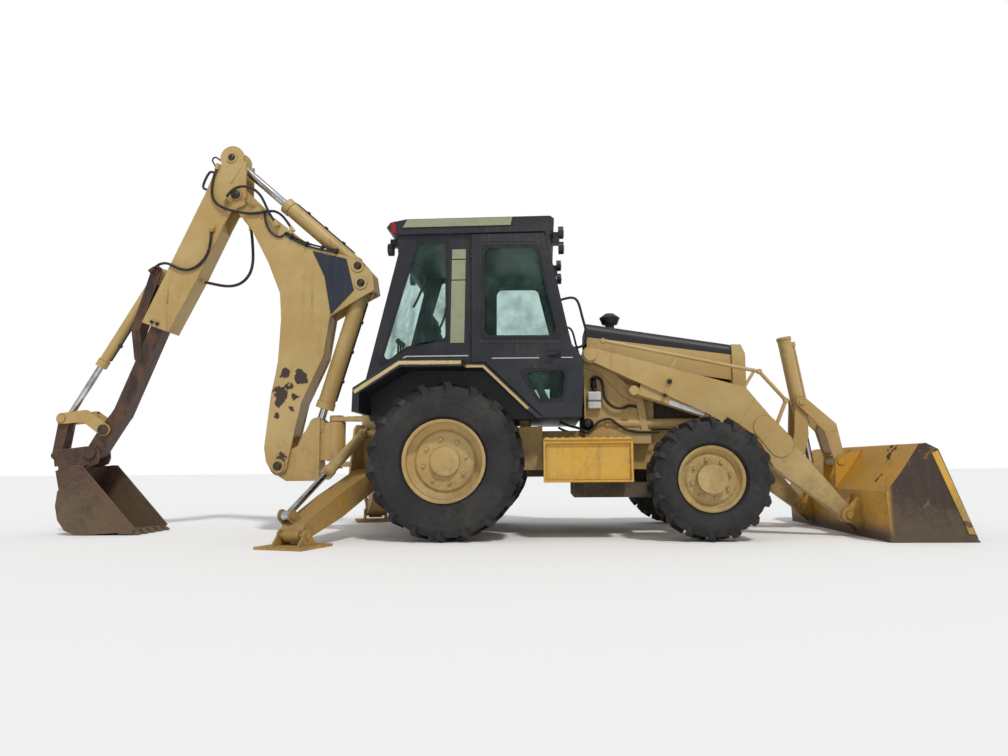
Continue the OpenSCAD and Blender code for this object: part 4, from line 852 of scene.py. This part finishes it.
# %% Dress the nodes
FINISH = {"paint": tan, "sunny": sunny, "dark": navy, "rust": rusty, "chrome": chrome, "tyre": tyre,
          "glass": glass, "trim": trim, "iron": iron, "hose": hose_rubber}
SLOT_OF = {part["node"]: part["material_slot"] for part in frame["record"]["subparts"]}


def finish_node(name, material):
    """The node's mesh takes one material"""
    mesh = nodes[name].data
    mesh.materials.clear()
    mesh.materials.append(material)


for name in nodes:
    finish_node(name, FINISH[SLOT_OF[name]])
for name, material in (("hood", hood_paint), ("boom", boom_paint), ("loader_bucket", bucket_paint),
                       ("stick_extension", extension_paint), ("stab_leg_right", leg_paint),
                       ("stab_leg_left", leg_paint)):
    finish_node(name, material)
finish_node("bucket_barrel", tan)
for hose in hoses:
    hose.data.materials.append(hose_rubber)
print("finished nodes:", len(nodes))

# %% [markdown]
# ## Small hardware
# Panels and strips are thin plates on the machine's side. An outline of edges is drawn there, an
# operator fills it, and the face is extruded outward. Both sides of the machine carry the same ones, so
# each is made at plus and minus its distance from the middle.

# %% Helpers for plates
def drawn(bm, outline, y):
    """The closed line of an outline on the machine's side, x and z in mm, as edges"""
    corners = [bm.verts.new(P(x, y, z)) for x, z in outline]
    return [bm.edges.new(pair) for pair in zip(corners, corners[1:] + corners[:1])]


def pulled_out(bm, faces, y, thick):
    """Faces on the side at y, extruded away from the machine's middle, in mm"""
    grown = bmesh.ops.extrude_face_region(bm, geom=faces)["geom"]
    outward = thick / 1000 if y > 0 else -thick / 1000
    bmesh.ops.translate(bm, verts=only(grown, bmesh.types.BMVert), vec=(0, outward, 0))


def plate_on_side(bm, outline, y, thick):
    """A plate whose outline lies on the machine's side, extruded outward from y by thick"""
    face = bmesh.ops.edgenet_fill(bm, edges=drawn(bm, outline, y))["faces"]
    pulled_out(bm, face, y, thick)


def both_sides(name, body, material, outlines, y, thick, bevel=0.001):
    """The same plates on the right and on the left"""
    bm = bmesh.new()
    for s in (-1, 1):
        for outline in outlines:
            plate_on_side(bm, outline, s * y, thick)
    return rounded(keep(bm, name, body, material, smooth=False), bevel)


print("plate helpers ready")

# %% [markdown]
# A pin's end shows as a flat cover with a bolt in it. Both are cones and cylinders that start along Z,
# so they need one turn that lays them on the pin's axis. `to_track_quat` gives it from a direction.

# %% Helpers for covers and bolts
def turned(axis):
    """The turn that lays a cone made along Z on that axis"""
    return Vector(axis).to_track_quat("Z", "Y").to_matrix().to_4x4()


def disc(bm, foot, top, depth, lay, segments):
    """A closed cylinder or cone, in metres"""
    bmesh.ops.create_cone(bm, cap_ends=True, segments=segments, radius1=foot, radius2=top, depth=depth,
                          matrix=lay)


def bolt(bm, place, axis, size):
    """A hexagon head on a washer, size across its flats in mm"""
    lay = Matrix.Translation(place) @ turned(axis)
    disc(bm, size / 1150, size / 1150, 0.004, lay, 20)
    disc(bm, size / 1730, size / 1820, size / 900, lay @ Matrix.Translation((0, 0, size / 1800 + 0.001)), 6)


def cap(bm, place, axis, radius, height):
    """A low domed disc, in mm"""
    lay = Matrix.Translation(place) @ turned(axis)
    disc(bm, radius / 1000, radius / 1000, height / 1000, lay, 28)
    disc(bm, radius / 1300, radius / 2600, height / 1500, lay @ Matrix.Translation((0, 0, height / 1300)), 28)


print("cover helpers ready")

# %% [markdown]
# Small parts come in a few colours of their own. They are too small for the full coat of paint, but a
# single flat colour would look like a toy, so each gets specks of dust that also dull it, and a skin.

# %% Finishes of the small parts
DUST = srgb(110, 104, 92)


def plain(name, colour, rough=0.5, dust=0.3):
    """A small part's own colour, with specks of dust and a little wear"""
    made, tree, shader = blank(name)
    where = on_object(tree)
    dusty = times(tree, ramp(tree, noise(tree, where, 16, 6, 0.6), 0.45, 0.75), dust)
    fill(shader.inputs["Base Color"], tree, mix(tree, dusty, colour, DUST))
    fill(shader.inputs["Roughness"], tree, plus(tree, rough, times(tree, dusty, 0.5)))
    skin(tree, shader, 0.2, 0.2)
    return made


olive = plain("olive_strip", srgb(150, 156, 124), 0.55)
white = plain("white_plate", srgb(208, 210, 206), 0.4)
cream = painted("cream_stripe", srgb(206, 184, 132), srgb(190, 166, 112), chips=0.5, flakes=0.12,
                dirt=0.2)
black = plain("black_plastic", srgb(20, 20, 22), 0.45, dust=0.1)
red = plain("red_lens", srgb(150, 22, 20), 0.18)
lens_clear = plain("lamp_glass", srgb(186, 192, 190), 0.1)
blue_black = painted("boom_panel_paint", srgb(30, 38, 54), srgb(42, 50, 64), chips=0.35, flakes=0.05,
                     dirt=0.1)
print("small finishes ready")

# %% [markdown]
# ## Cab
# The cab carries an olive strip under the roof's edge, three olive louvre covers beside the door, a thin
# white line at its waist and a cream stripe along the fender. They are tape and thin sheet on the real
# machine. A colour mask would do for tape, but the covers stand proud and catch light, so all are plates.

# %% Strips and stripes of the cab
WALL_Y = 750  # distance of the cab's wall from the middle
ROOF_Y = 788
DOOR_Y = 795
STRIPE_Y = 800
FENDER_Y = 1087
ROOF_STRIP = [(-392, 2650), (-352, 2719), (556, 2719), (540, 2650)]
LOUVRES = [[(32, 2372), (34, 2455), (152, 2455), (150, 2372)],
           [(28, 2190), (31, 2362), (149, 2362), (146, 2190)],
           [(16, 1640), (27, 2180), (146, 2180), (135, 1640)]]
both_sides("roof_strip", "chassis", olive, [ROOF_STRIP], ROOF_Y, 3)
both_sides("door_post_louvres", "chassis", olive, LOUVRES, WALL_Y, 5)
WHITE_LINES = [[(-710, 1306), (-362, 1526), (170, 1524), (170, 1534), (-366, 1536), (-708, 1317)]]
both_sides("waist_line", "chassis", white, WHITE_LINES, WALL_Y, 2, 0.0004)
STRIPE_WIDE = [(-731, 1214), (-361, 1448), (146, 1443), (146, 1412), (-353, 1416), (-716, 1186)]
both_sides("fender_stripe", "chassis", cream, [STRIPE_WIDE], FENDER_Y, 2)
STRIPE_DOWN = [(152, 1444), (306, 1441), (684, 1074), (660, 1062), (294, 1420), (152, 1420)]
both_sides("door_stripe", "chassis", cream, [STRIPE_DOWN], STRIPE_Y, 2)
DOOR_LINES = ([(372, 1494), (372, 1501), (770, 1498), (770, 1491)],
              [(954, 1492), (954, 1499), (1050, 1497), (1050, 1490)])
for side, s in (("right", -1), ("left", 1)):
    bm = bmesh.new()
    for line in DOOR_LINES:
        plate_on_side(bm, line, s * DOOR_Y, 2)
    rounded(keep(bm, "door_line_" + side, "door_" + side, white, smooth=False), 0.0004)
print("strips laid")

# %% [markdown]
# Each pane sits in a black rubber whose corners are round. A bevel on the finished ring would round its
# section too, so the outline itself is rounded: each corner becomes an arc that touches both sides. The
# ring lies between that outline pushed out and pushed in, and `triangle_fill` fills such a band.

# %% Rounded outlines
def at_corner(corners, i):
    """A corner, the directions to the last and the next one, and half of the angle between them"""
    here = Vector(corners[i])
    to_last = (Vector(corners[i - 1]) - here).normalized()
    to_next = (Vector(corners[(i + 1) % len(corners)]) - here).normalized()
    return here, to_last, to_next, to_last.angle(to_next) / 2


def rounded_outline(corners, radius, steps=6):
    """The outline with its corners turned into arcs"""
    out = []
    for i in range(len(corners)):
        here, to_last, to_next, half = at_corner(corners, i)
        reach = radius / math.tan(half)
        middle = here + (to_last + to_next).normalized() * (radius / math.sin(half))
        start = here + to_last * reach - middle
        end = here + to_next * reach - middle
        sweep = math.atan2(start.x * end.y - start.y * end.x, start.dot(end))
        for k in range(steps + 1):
            out.append(tuple(middle + Matrix.Rotation(sweep * k / steps, 2) @ start))
    return out


def pushed(corners, by):
    """The outline with each side moved outward by that much"""
    out = []
    for i in range(len(corners)):
        here, to_last, to_next, half = at_corner(corners, i)
        inward = (to_last + to_next).normalized()
        out.append(tuple(here - inward * by / math.sin(half)))
    return out


def ring_on_side(bm, corners, out_by, out_round, in_by, in_round, y, thick):
    """The band round a window, from one rounded outline to another, each pushed from its corners"""
    edges = drawn(bm, rounded_outline(pushed(corners, out_by), out_round), y)
    edges += drawn(bm, rounded_outline(pushed(corners, in_by), in_round), y)
    filled = bmesh.ops.triangle_fill(bm, edges=edges, use_beauty=True)["geom"]
    pulled_out(bm, only(filled, bmesh.types.BMFace), y, thick)


print("outline helpers ready")

# %% Window rubbers
SIDE_WINDOW = [(-265, 2540), (-14, 2540), (-14, 1675), (-355, 1604), (-592, 1446)]
DOOR_WINDOW = [(303, 2466), (764, 2459), (951, 1667), (296, 1678)]
DOOR_LOW_WINDOW = [(608, 1393), (1000, 1404), (971, 1145), (763, 1131)]
bm = bmesh.new()
for s in (-1, 1):
    ring_on_side(bm, SIDE_WINDOW, 12, 20, -12, 34, s * WALL_Y, 5)
keep(bm, "side_window_rubbers", "chassis", black, smooth=False)
for side, s in (("right", -1), ("left", 1)):
    bm = bmesh.new()
    ring_on_side(bm, DOOR_WINDOW, 12, 30, -16, 62, s * DOOR_Y, 5)
    ring_on_side(bm, DOOR_LOW_WINDOW, 12, 30, -14, 46, s * DOOR_Y, 5)
    keep(bm, "door_rubbers_" + side, "door_" + side, black, smooth=False)
    bm = bmesh.new()
    ring_on_side(bm, DOOR_WINDOW, 52, 70, 40, 60, s * DOOR_Y, 4)
    rounded(keep(bm, "door_pressing_" + side, "door_" + side, navy, smooth=False), 0.002)
print("rubbers fitted")

# %% [markdown]
# The lamps' cans are solids already. Their lenses are low caps on the front of each can, pale because a
# clear shader would only show the dark can behind. The tail lamps are red prisms on the roof's corner.

# %% Lamps
LENS_R = 47
LENS_DEEP = 6
TAIL_LAMP = [(-486, 2600), (-500, 2690), (-462, 2712), (-446, 2604)]
bm = bmesh.new()
for y in (-560, 560):
    for z in (2502, 2640):
        cap(bm, P(996, y, z), (1, 0, 0), LENS_R, LENS_DEEP)
    cap(bm, P(-561, y, 2521), (-1, 0, 0), LENS_R, LENS_DEEP)
keep(bm, "lamp_lenses", "chassis", lens_clear)
both_sides("tail_lamps", "chassis", red, [TAIL_LAMP], 780, 6, 0.003)
print("lamps glazed")

# %% [markdown]
# A driver pulls on bent pipes: one beside each door, and small ones on the rear window. Their bends are
# curves through a few measured points. The door's handle is a plate with a bar that stands off it.

# %% Door handles, grab rails and the rear window's handles
LATCH_PLATE = [(846, 1500), (846, 1562), (950, 1560), (950, 1498)]
LATCH_BAR = [(858, 806, 1530), (868, 822, 1530), (930, 822, 1528), (942, 806, 1528)]
GRAB_RAIL = [(952, 688, 2006), (1050, 705, 2022), (1104, 712, 1985), (1140, 715, 1850), (1172, 712, 1700),
             (1140, 705, 1606), (1040, 690, 1588)]
REAR_PULL = [(-226, 706, 2238), (-212, 696, 2228), (-240, 694, 2120), (-300, 696, 1988), (-312, 706, 1972)]
RAIL_R = 0.011


def on_side(points, s):
    """Points given for the left side, laid on the left for s = 1 or on the right for s = -1"""
    return [P(x, s * y, z) for x, y, z in points]


for side, s in (("right", -1), ("left", 1)):
    bm = bmesh.new()
    plate_on_side(bm, LATCH_PLATE, s * DOOR_Y, 9)
    tube(bm, on_side(LATCH_BAR, s), 0.007, 8)
    rounded(keep(bm, "door_handle_" + side, "door_" + side, black, smooth=False), 0.002)
for name, points, sides in (("grab_rails", GRAB_RAIL, 12), ("rear_window_handles", REAR_PULL, 8)):
    bm = bmesh.new()
    for s in (-1, 1):
        tube(bm, smooth_path(on_side(points, s)), RAIL_R, sides)
    keep(bm, name, "chassis", black)
print("handles made")

# %% [markdown]
# ## Backhoe
# The boom's elbow carries a dark panel, kept bare here. Each hinge pin ends in a greasy cover with a bolt
# in it. The covers ride on the body that holds the pin, so a table names the body for each of them.

# %% Panel and pin covers
PANEL = [(-1387, 2655), (-1057, 2572), (-980, 2262), (-1200, 2030), (-1266, 2405)]
both_sides("boom_panel", "boom", blue_black, [PANEL], 131, 3, 0.0015)
PINS = [  # body, x, z, y of the face, radius of the cover
    ("boom", -945, 2500, 141, 38), ("boom", -914, 2333, 141, 38), ("swing", -1670, 614, 145, 42),
    ("stick", -2215, 3622, 118, 34), ("stick", -2164, 3243, 116, 46),
]
for body in ("boom", "swing", "stick"):
    bm = bmesh.new()
    for owner, x, z, y, size in PINS:
        for s in (-1, 1):
            if owner == body:
                cap(bm, P(x, s * y, z), (0, s, 0), size, 9)
                bolt(bm, P(x, s * (y + 6), z), (0, s, 0), 17)
    keep(bm, "pin_covers_" + body, body, grease)
bm = bmesh.new()
for s in (-1, 1):
    for x, z in ((-2945, 2001), (-2893, 1980)):
        bolt(bm, P(x, s * 107, z), (0, s, 0), 24)
keep(bm, "stick_bolts", "stick", grease)
print("covers made")

# %% [markdown]
# Oil reaches the far end of each cylinder by a steel pipe that lies along the barrel under three clamps.
# It is laid from the cylinder's own two pins: along the line between them, at a distance to one side.

# %% Pipes and clamps on the cylinders
PIPE_R = 0.008
BENT_IN = 0.78  # share of the pipe's distance at which its ends meet the barrel


def piped(name, body, start, end, along, out):
    """A pipe beside a barrel: pins' x and z, start and end along the line, distance from it, in mm"""
    a, b = P(start[0], 0, start[1]), P(end[0], 0, end[1])
    run = (b - a).normalized()
    lift = run.cross(Vector((0, -1, 0))) * out / 1000
    first, last = a + run * along[0] / 1000, a + run * along[1] / 1000
    bm = bmesh.new()
    route = [first + lift * BENT_IN, first + lift * 0.95 + run * 0.01, first + lift + run * 0.05,
             (first + last) / 2 + lift, last + lift - run * 0.05, last + lift * 0.95 - run * 0.01,
             last + lift * BENT_IN]
    tube(bm, smooth_path(route), PIPE_R, 10)
    for t in (0.2, 0.5, 0.8):
        spot = Matrix.Translation(first.lerp(last, t) + lift)
        disc(bm, PIPE_R * 2.3, PIPE_R * 2.3, 0.03, spot @ turned(run), 12)
    keep(bm, name, body, black)


piped("stick_cylinder_pipe", "stick_barrel", (-945, 2500), (-2215, 3622), (150, 930), 77)
piped("boom_cylinder_pipe", "boom_barrel", (-914, 2333), (-1328, 990), (150, 1140), -86)
piped("bucket_cylinder_pipe", "bucket_barrel", (-2943, 2510), (-3796, 1083), (120, 980), -59)
print("pipes laid")

# %% [markdown]
# Four hoses run clamped along the boom's upper edge, two on each side. They don't move against the
# boom, so they need no bend across a joint: they are plain tubes that ride on it, under round clamps.

# %% Hoses clamped to the boom
BUNDLE_HOSE_R = 0.0095
bm = bmesh.new()
BUNDLE = [(-1640, 2842), (-1560, 2792), (-1470, 2745), (-1360, 2706), (-1250, 2680), (-1130, 2652)]
for k, y in enumerate((-139, -139, 139, 139)):
    shift = 22 * (k % 2)
    tube(bm, smooth_path([P(x - shift * 0.4, y, z - shift) for x, z in BUNDLE]), BUNDLE_HOSE_R, 10)
TOP_LOOP = [(-1863, 3060), (-1848, 2954), (-1792, 2846), (-1705, 2800), (-1640, 2842)]
tube(bm, smooth_path([P(x, -141, z) for x, z in TOP_LOOP]), BUNDLE_HOSE_R, 10)
keep(bm, "boom_hoses", "boom", hose_rubber)
bm = bmesh.new()
for x, z in ((-1590, 2798), (-1440, 2720), (-1290, 2680), (-1150, 2645)):
    for y in (-141, 141):
        disc(bm, 0.03, 0.03, 0.014, Matrix.Translation(P(x, y, z)) @ turned((-0.9, 0, 0.4)), 16)
keep(bm, "boom_hose_clamps", "boom", grease)
print("bundle clamped")

# %% [markdown]
# The stick's top has bent bars that guard the hoses, and a small hook. Where its plates meet, a weld
# seam stands out: a half-sunk tube on the plate's face reads as the bead.

# %% Stick's guards, hook and seams
GUARD = [(-2380, 84, 3476), (-2448, 84, 3484), (-2506, 84, 3342), (-2440, 84, 3306)]
HOOK = [(-2330, 60, 3600), (-2400, 60, 3650), (-2432, 60, 3622), (-2400, 60, 3560)]
SEAMS = ([(-2790, 106, 2473), (-2799, 107, 2320), (-2806, 106, 2173)],
         [(-2103, 106, 3560), (-2150, 107, 3470), (-2215, 106, 3357)])
bm = bmesh.new()
for s in (-1, 1):
    tube(bm, smooth_path(on_side(GUARD, s)), 0.012, 10)
tube(bm, smooth_path(on_side(HOOK, -1)), 0.008, 8)
keep(bm, "stick_handles", "stick", grease)
bm = bmesh.new()
for s in (-1, 1):
    for seam in SEAMS:
        tube(bm, on_side(seam, s), 0.006, 8)
keep(bm, "stick_welds", "stick", tan)
print("stick dressed")

# %% [markdown]
# ## Loader and engine
# Steering hoses leave the tower's foot and the transmission in loose bends. They could be simulated, but
# both of their ends are fixed to the same body, so a curve through measured points is enough.

# %% Hoses at the loader's tower
TOWER_HOSE = [(1215, 506, 1330), (1255, 520, 1356), (1300, 524, 1330), (1316, 524, 1260), (1330, 524, 1170),
              (1395, 522, 1100), (1470, 518, 1084), (1540, 514, 1104), (1600, 506, 1096)]
LOW_HOSE = [(941, 505, 973), (1010, 512, 940), (1100, 512, 915), (1160, 512, 879), (1215, 512, 905),
            (1270, 512, 966), (1361, 512, 992), (1430, 512, 950), (1491, 512, 908), (1599, 508, 880),
            (1790, 500, 874)]
bm = bmesh.new()
for s in (-1, 1):
    tube(bm, smooth_path(on_side(TOWER_HOSE, s)), 0.0125, 12)
    tube(bm, smooth_path(on_side(LOW_HOSE, s)), 0.011, 12)
keep(bm, "tower_hoses", "chassis", hose_rubber)
print("tower's hoses laid")

# %% [markdown]
# The washer's bottle is a blown plastic box in two steps, with a round cap and a tapered spout. Two
# cubes under a wide bevel give the soft corners that blow moulding leaves.

# %% Washer bottle, cap and valve
BOTTLE_LONG = 0.115
BOTTLE_WIDE = 0.05
bm = bmesh.new()
for z, high in ((1192, 78), (1112, 62)):
    box = Matrix.Diagonal((BOTTLE_LONG, BOTTLE_WIDE, high / 1000, 1))
    bmesh.ops.create_cube(bm, size=1, matrix=Matrix.Translation(P(1240, -512, z)) @ box)
rounded(keep(bm, "washer_bottle", "chassis", white, smooth=False), 0.012, 4)
bm = bmesh.new()
disc(bm, 0.022, 0.022, 0.03, Matrix.Translation(P(1240, -512, 1244)), 20)
disc(bm, 0.028, 0.018, 0.09, Matrix.Translation(P(1236, -508, 1310)), 20)
cap(bm, P(1179, -497, 949), (0, -1, 0), 52, 10)
keep(bm, "bottle_cap_and_valve", "chassis", black)
print("bottle placed")

# %% [markdown]
# A steel bar on the arm can be laid over the lift rod to lock the arms up for service. The brace
# channels carry blank plates, and new strips are welded on the bucket's end plates. All are flat plates.

# %% Lift lock, blank plates and edge strips
LOCK_BAR = [(1858, 1318), (1884, 1308), (1832, 1158), (1806, 1168)]
BLANK_PLATE = [(1870, 1140), (2160, 1041), (2147, 1003), (1857, 1102)]
EDGE_STRIP = [(3776, 690), (3730, 668), (3960, 60), (4010, 60)]
bm = bmesh.new()
for s in (-1, 1):
    plate_on_side(bm, LOCK_BAR, s * 636, 14)
rounded(keep(bm, "lift_lock", "loader_arms", tan, smooth=False), 0.003)
bm = bmesh.new()
for s in (-1, 1):
    bolt(bm, P(1866, s * 652, 1296), (0, s, 0), 26)
    bolt(bm, P(1822, s * 652, 1180), (0, s, 0), 20)
keep(bm, "lift_lock_bolts", "loader_arms", grease)
both_sides("blank_plates", "lift_barrels", white, [BLANK_PLATE], 617, 2, 0.0006)
# The strips take the orange-yellow paint, whose brightness is painted sunlight
both_sides("bucket_edge_strips", "loader_bucket", sunny, [EDGE_STRIP], 1148, 9)
print("loader dressed")

# %% [markdown]
# ## Seat
# The seat has two padded pieces with sewn channels. A cushion could be a box with a large bevel, but a
# filled cover bulges more in its middle than at its seams. So a rounded box is remeshed evenly and blown
# up as cloth for some frames; no point may move more than a cap; then the channels are pressed in.

# %% Cushions
VOXEL = 0.010
PRESSURE = 4
CLOTH_FRAMES = 20
CHANNEL = 0.012  # depth and half width of a sewn channel, in metres


def evaluated(obj):
    """The object's mesh with its modifiers done"""
    return bpy.data.meshes.new_from_object(obj.evaluated_get(bpy.context.evaluated_depsgraph_get()))


def cushion(name, size, place, channels, cap_mm=26):
    """A padded piece: a rounded box, remeshed, blown up, capped, sewn and laid in place"""
    bm = bmesh.new()
    bmesh.ops.create_cube(bm, size=1, matrix=Matrix.Diagonal((*size, 1)))
    bmesh.ops.bevel(bm, geom=bm.edges[:], offset=0.03, segments=3, profile=0.5, affect="EDGES", material=-1)
    obj = keep(bm, name, None, vinyl)
    remesh = obj.modifiers.new("remesh", "REMESH")
    remesh.mode = "VOXEL"
    remesh.voxel_size = VOXEL
    start = evaluated(obj)
    obj.modifiers.clear()
    obj.data = start
    rest = [v.co.copy() for v in start.vertices]
    cloth = obj.modifiers.new("cloth", "CLOTH")
    cloth.settings.use_pressure = True
    cloth.settings.uniform_pressure_force = PRESSURE
    cloth.settings.effector_weights.gravity = 0
    for frame_number in range(1, CLOTH_FRAMES + 1):
        bpy.context.scene.frame_set(frame_number)
    blown = evaluated(obj)
    obj.modifiers.clear()
    for old, v in zip(rest, blown.vertices):
        move = v.co - old
        if move.length > cap_mm / 1000:
            v.co = old + move * (cap_mm / 1000 / move.length)
    obj.data = blown
    bpy.context.scene.frame_set(1)
    for v in obj.data.vertices:
        for x in channels:
            v.co.z -= math.copysign(CHANNEL, v.co.z) * math.exp(-((v.co.x - x) / CHANNEL) ** 2)
    obj.data.transform(place)
    for face in obj.data.polygons:
        face.use_smooth = True
    soft = obj.modifiers.new("soft", "SUBSURF")
    soft.levels = soft.render_levels = 1
    obj.data.materials.clear()
    obj.data.materials.append(vinyl)
    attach(obj, "chassis")


print("cushion helper ready")

# %% Seat
LEAN = Matrix.Rotation(math.radians(-100), 4, "Y")
base_place = Matrix.Translation(P(110, 0, 1352))
back_place = Matrix.Translation(P(-228, 0, 1695)) @ LEAN
cushion("seat_cushion", (0.5, 0.51, 0.125), base_place, (-0.12, 0.0, 0.12))
cushion("seat_back", (0.62, 0.49, 0.105), back_place, (-0.15, 0.02, 0.18))
print("seat sewn")

# %% [markdown]
# ## Floor
# A pale sheet under the wheels. It takes the shadow and isn't part of the machine, so it rides on no body.

# %% Floor
FLOOR_HALF = 60
FLOOR_WHITE = (0.98, 0.98, 0.98, 1)
bm = bmesh.new()
bmesh.ops.create_grid(bm, x_segments=1, y_segments=1, size=FLOOR_HALF)
paper, _, paper_shader = blank("floor")
paper_shader.inputs["Base Color"].default_value = FLOOR_WHITE
paper_shader.inputs["Roughness"].default_value = 0.9
floor = keep(bm, "floor", None, paper)
print("floor made")
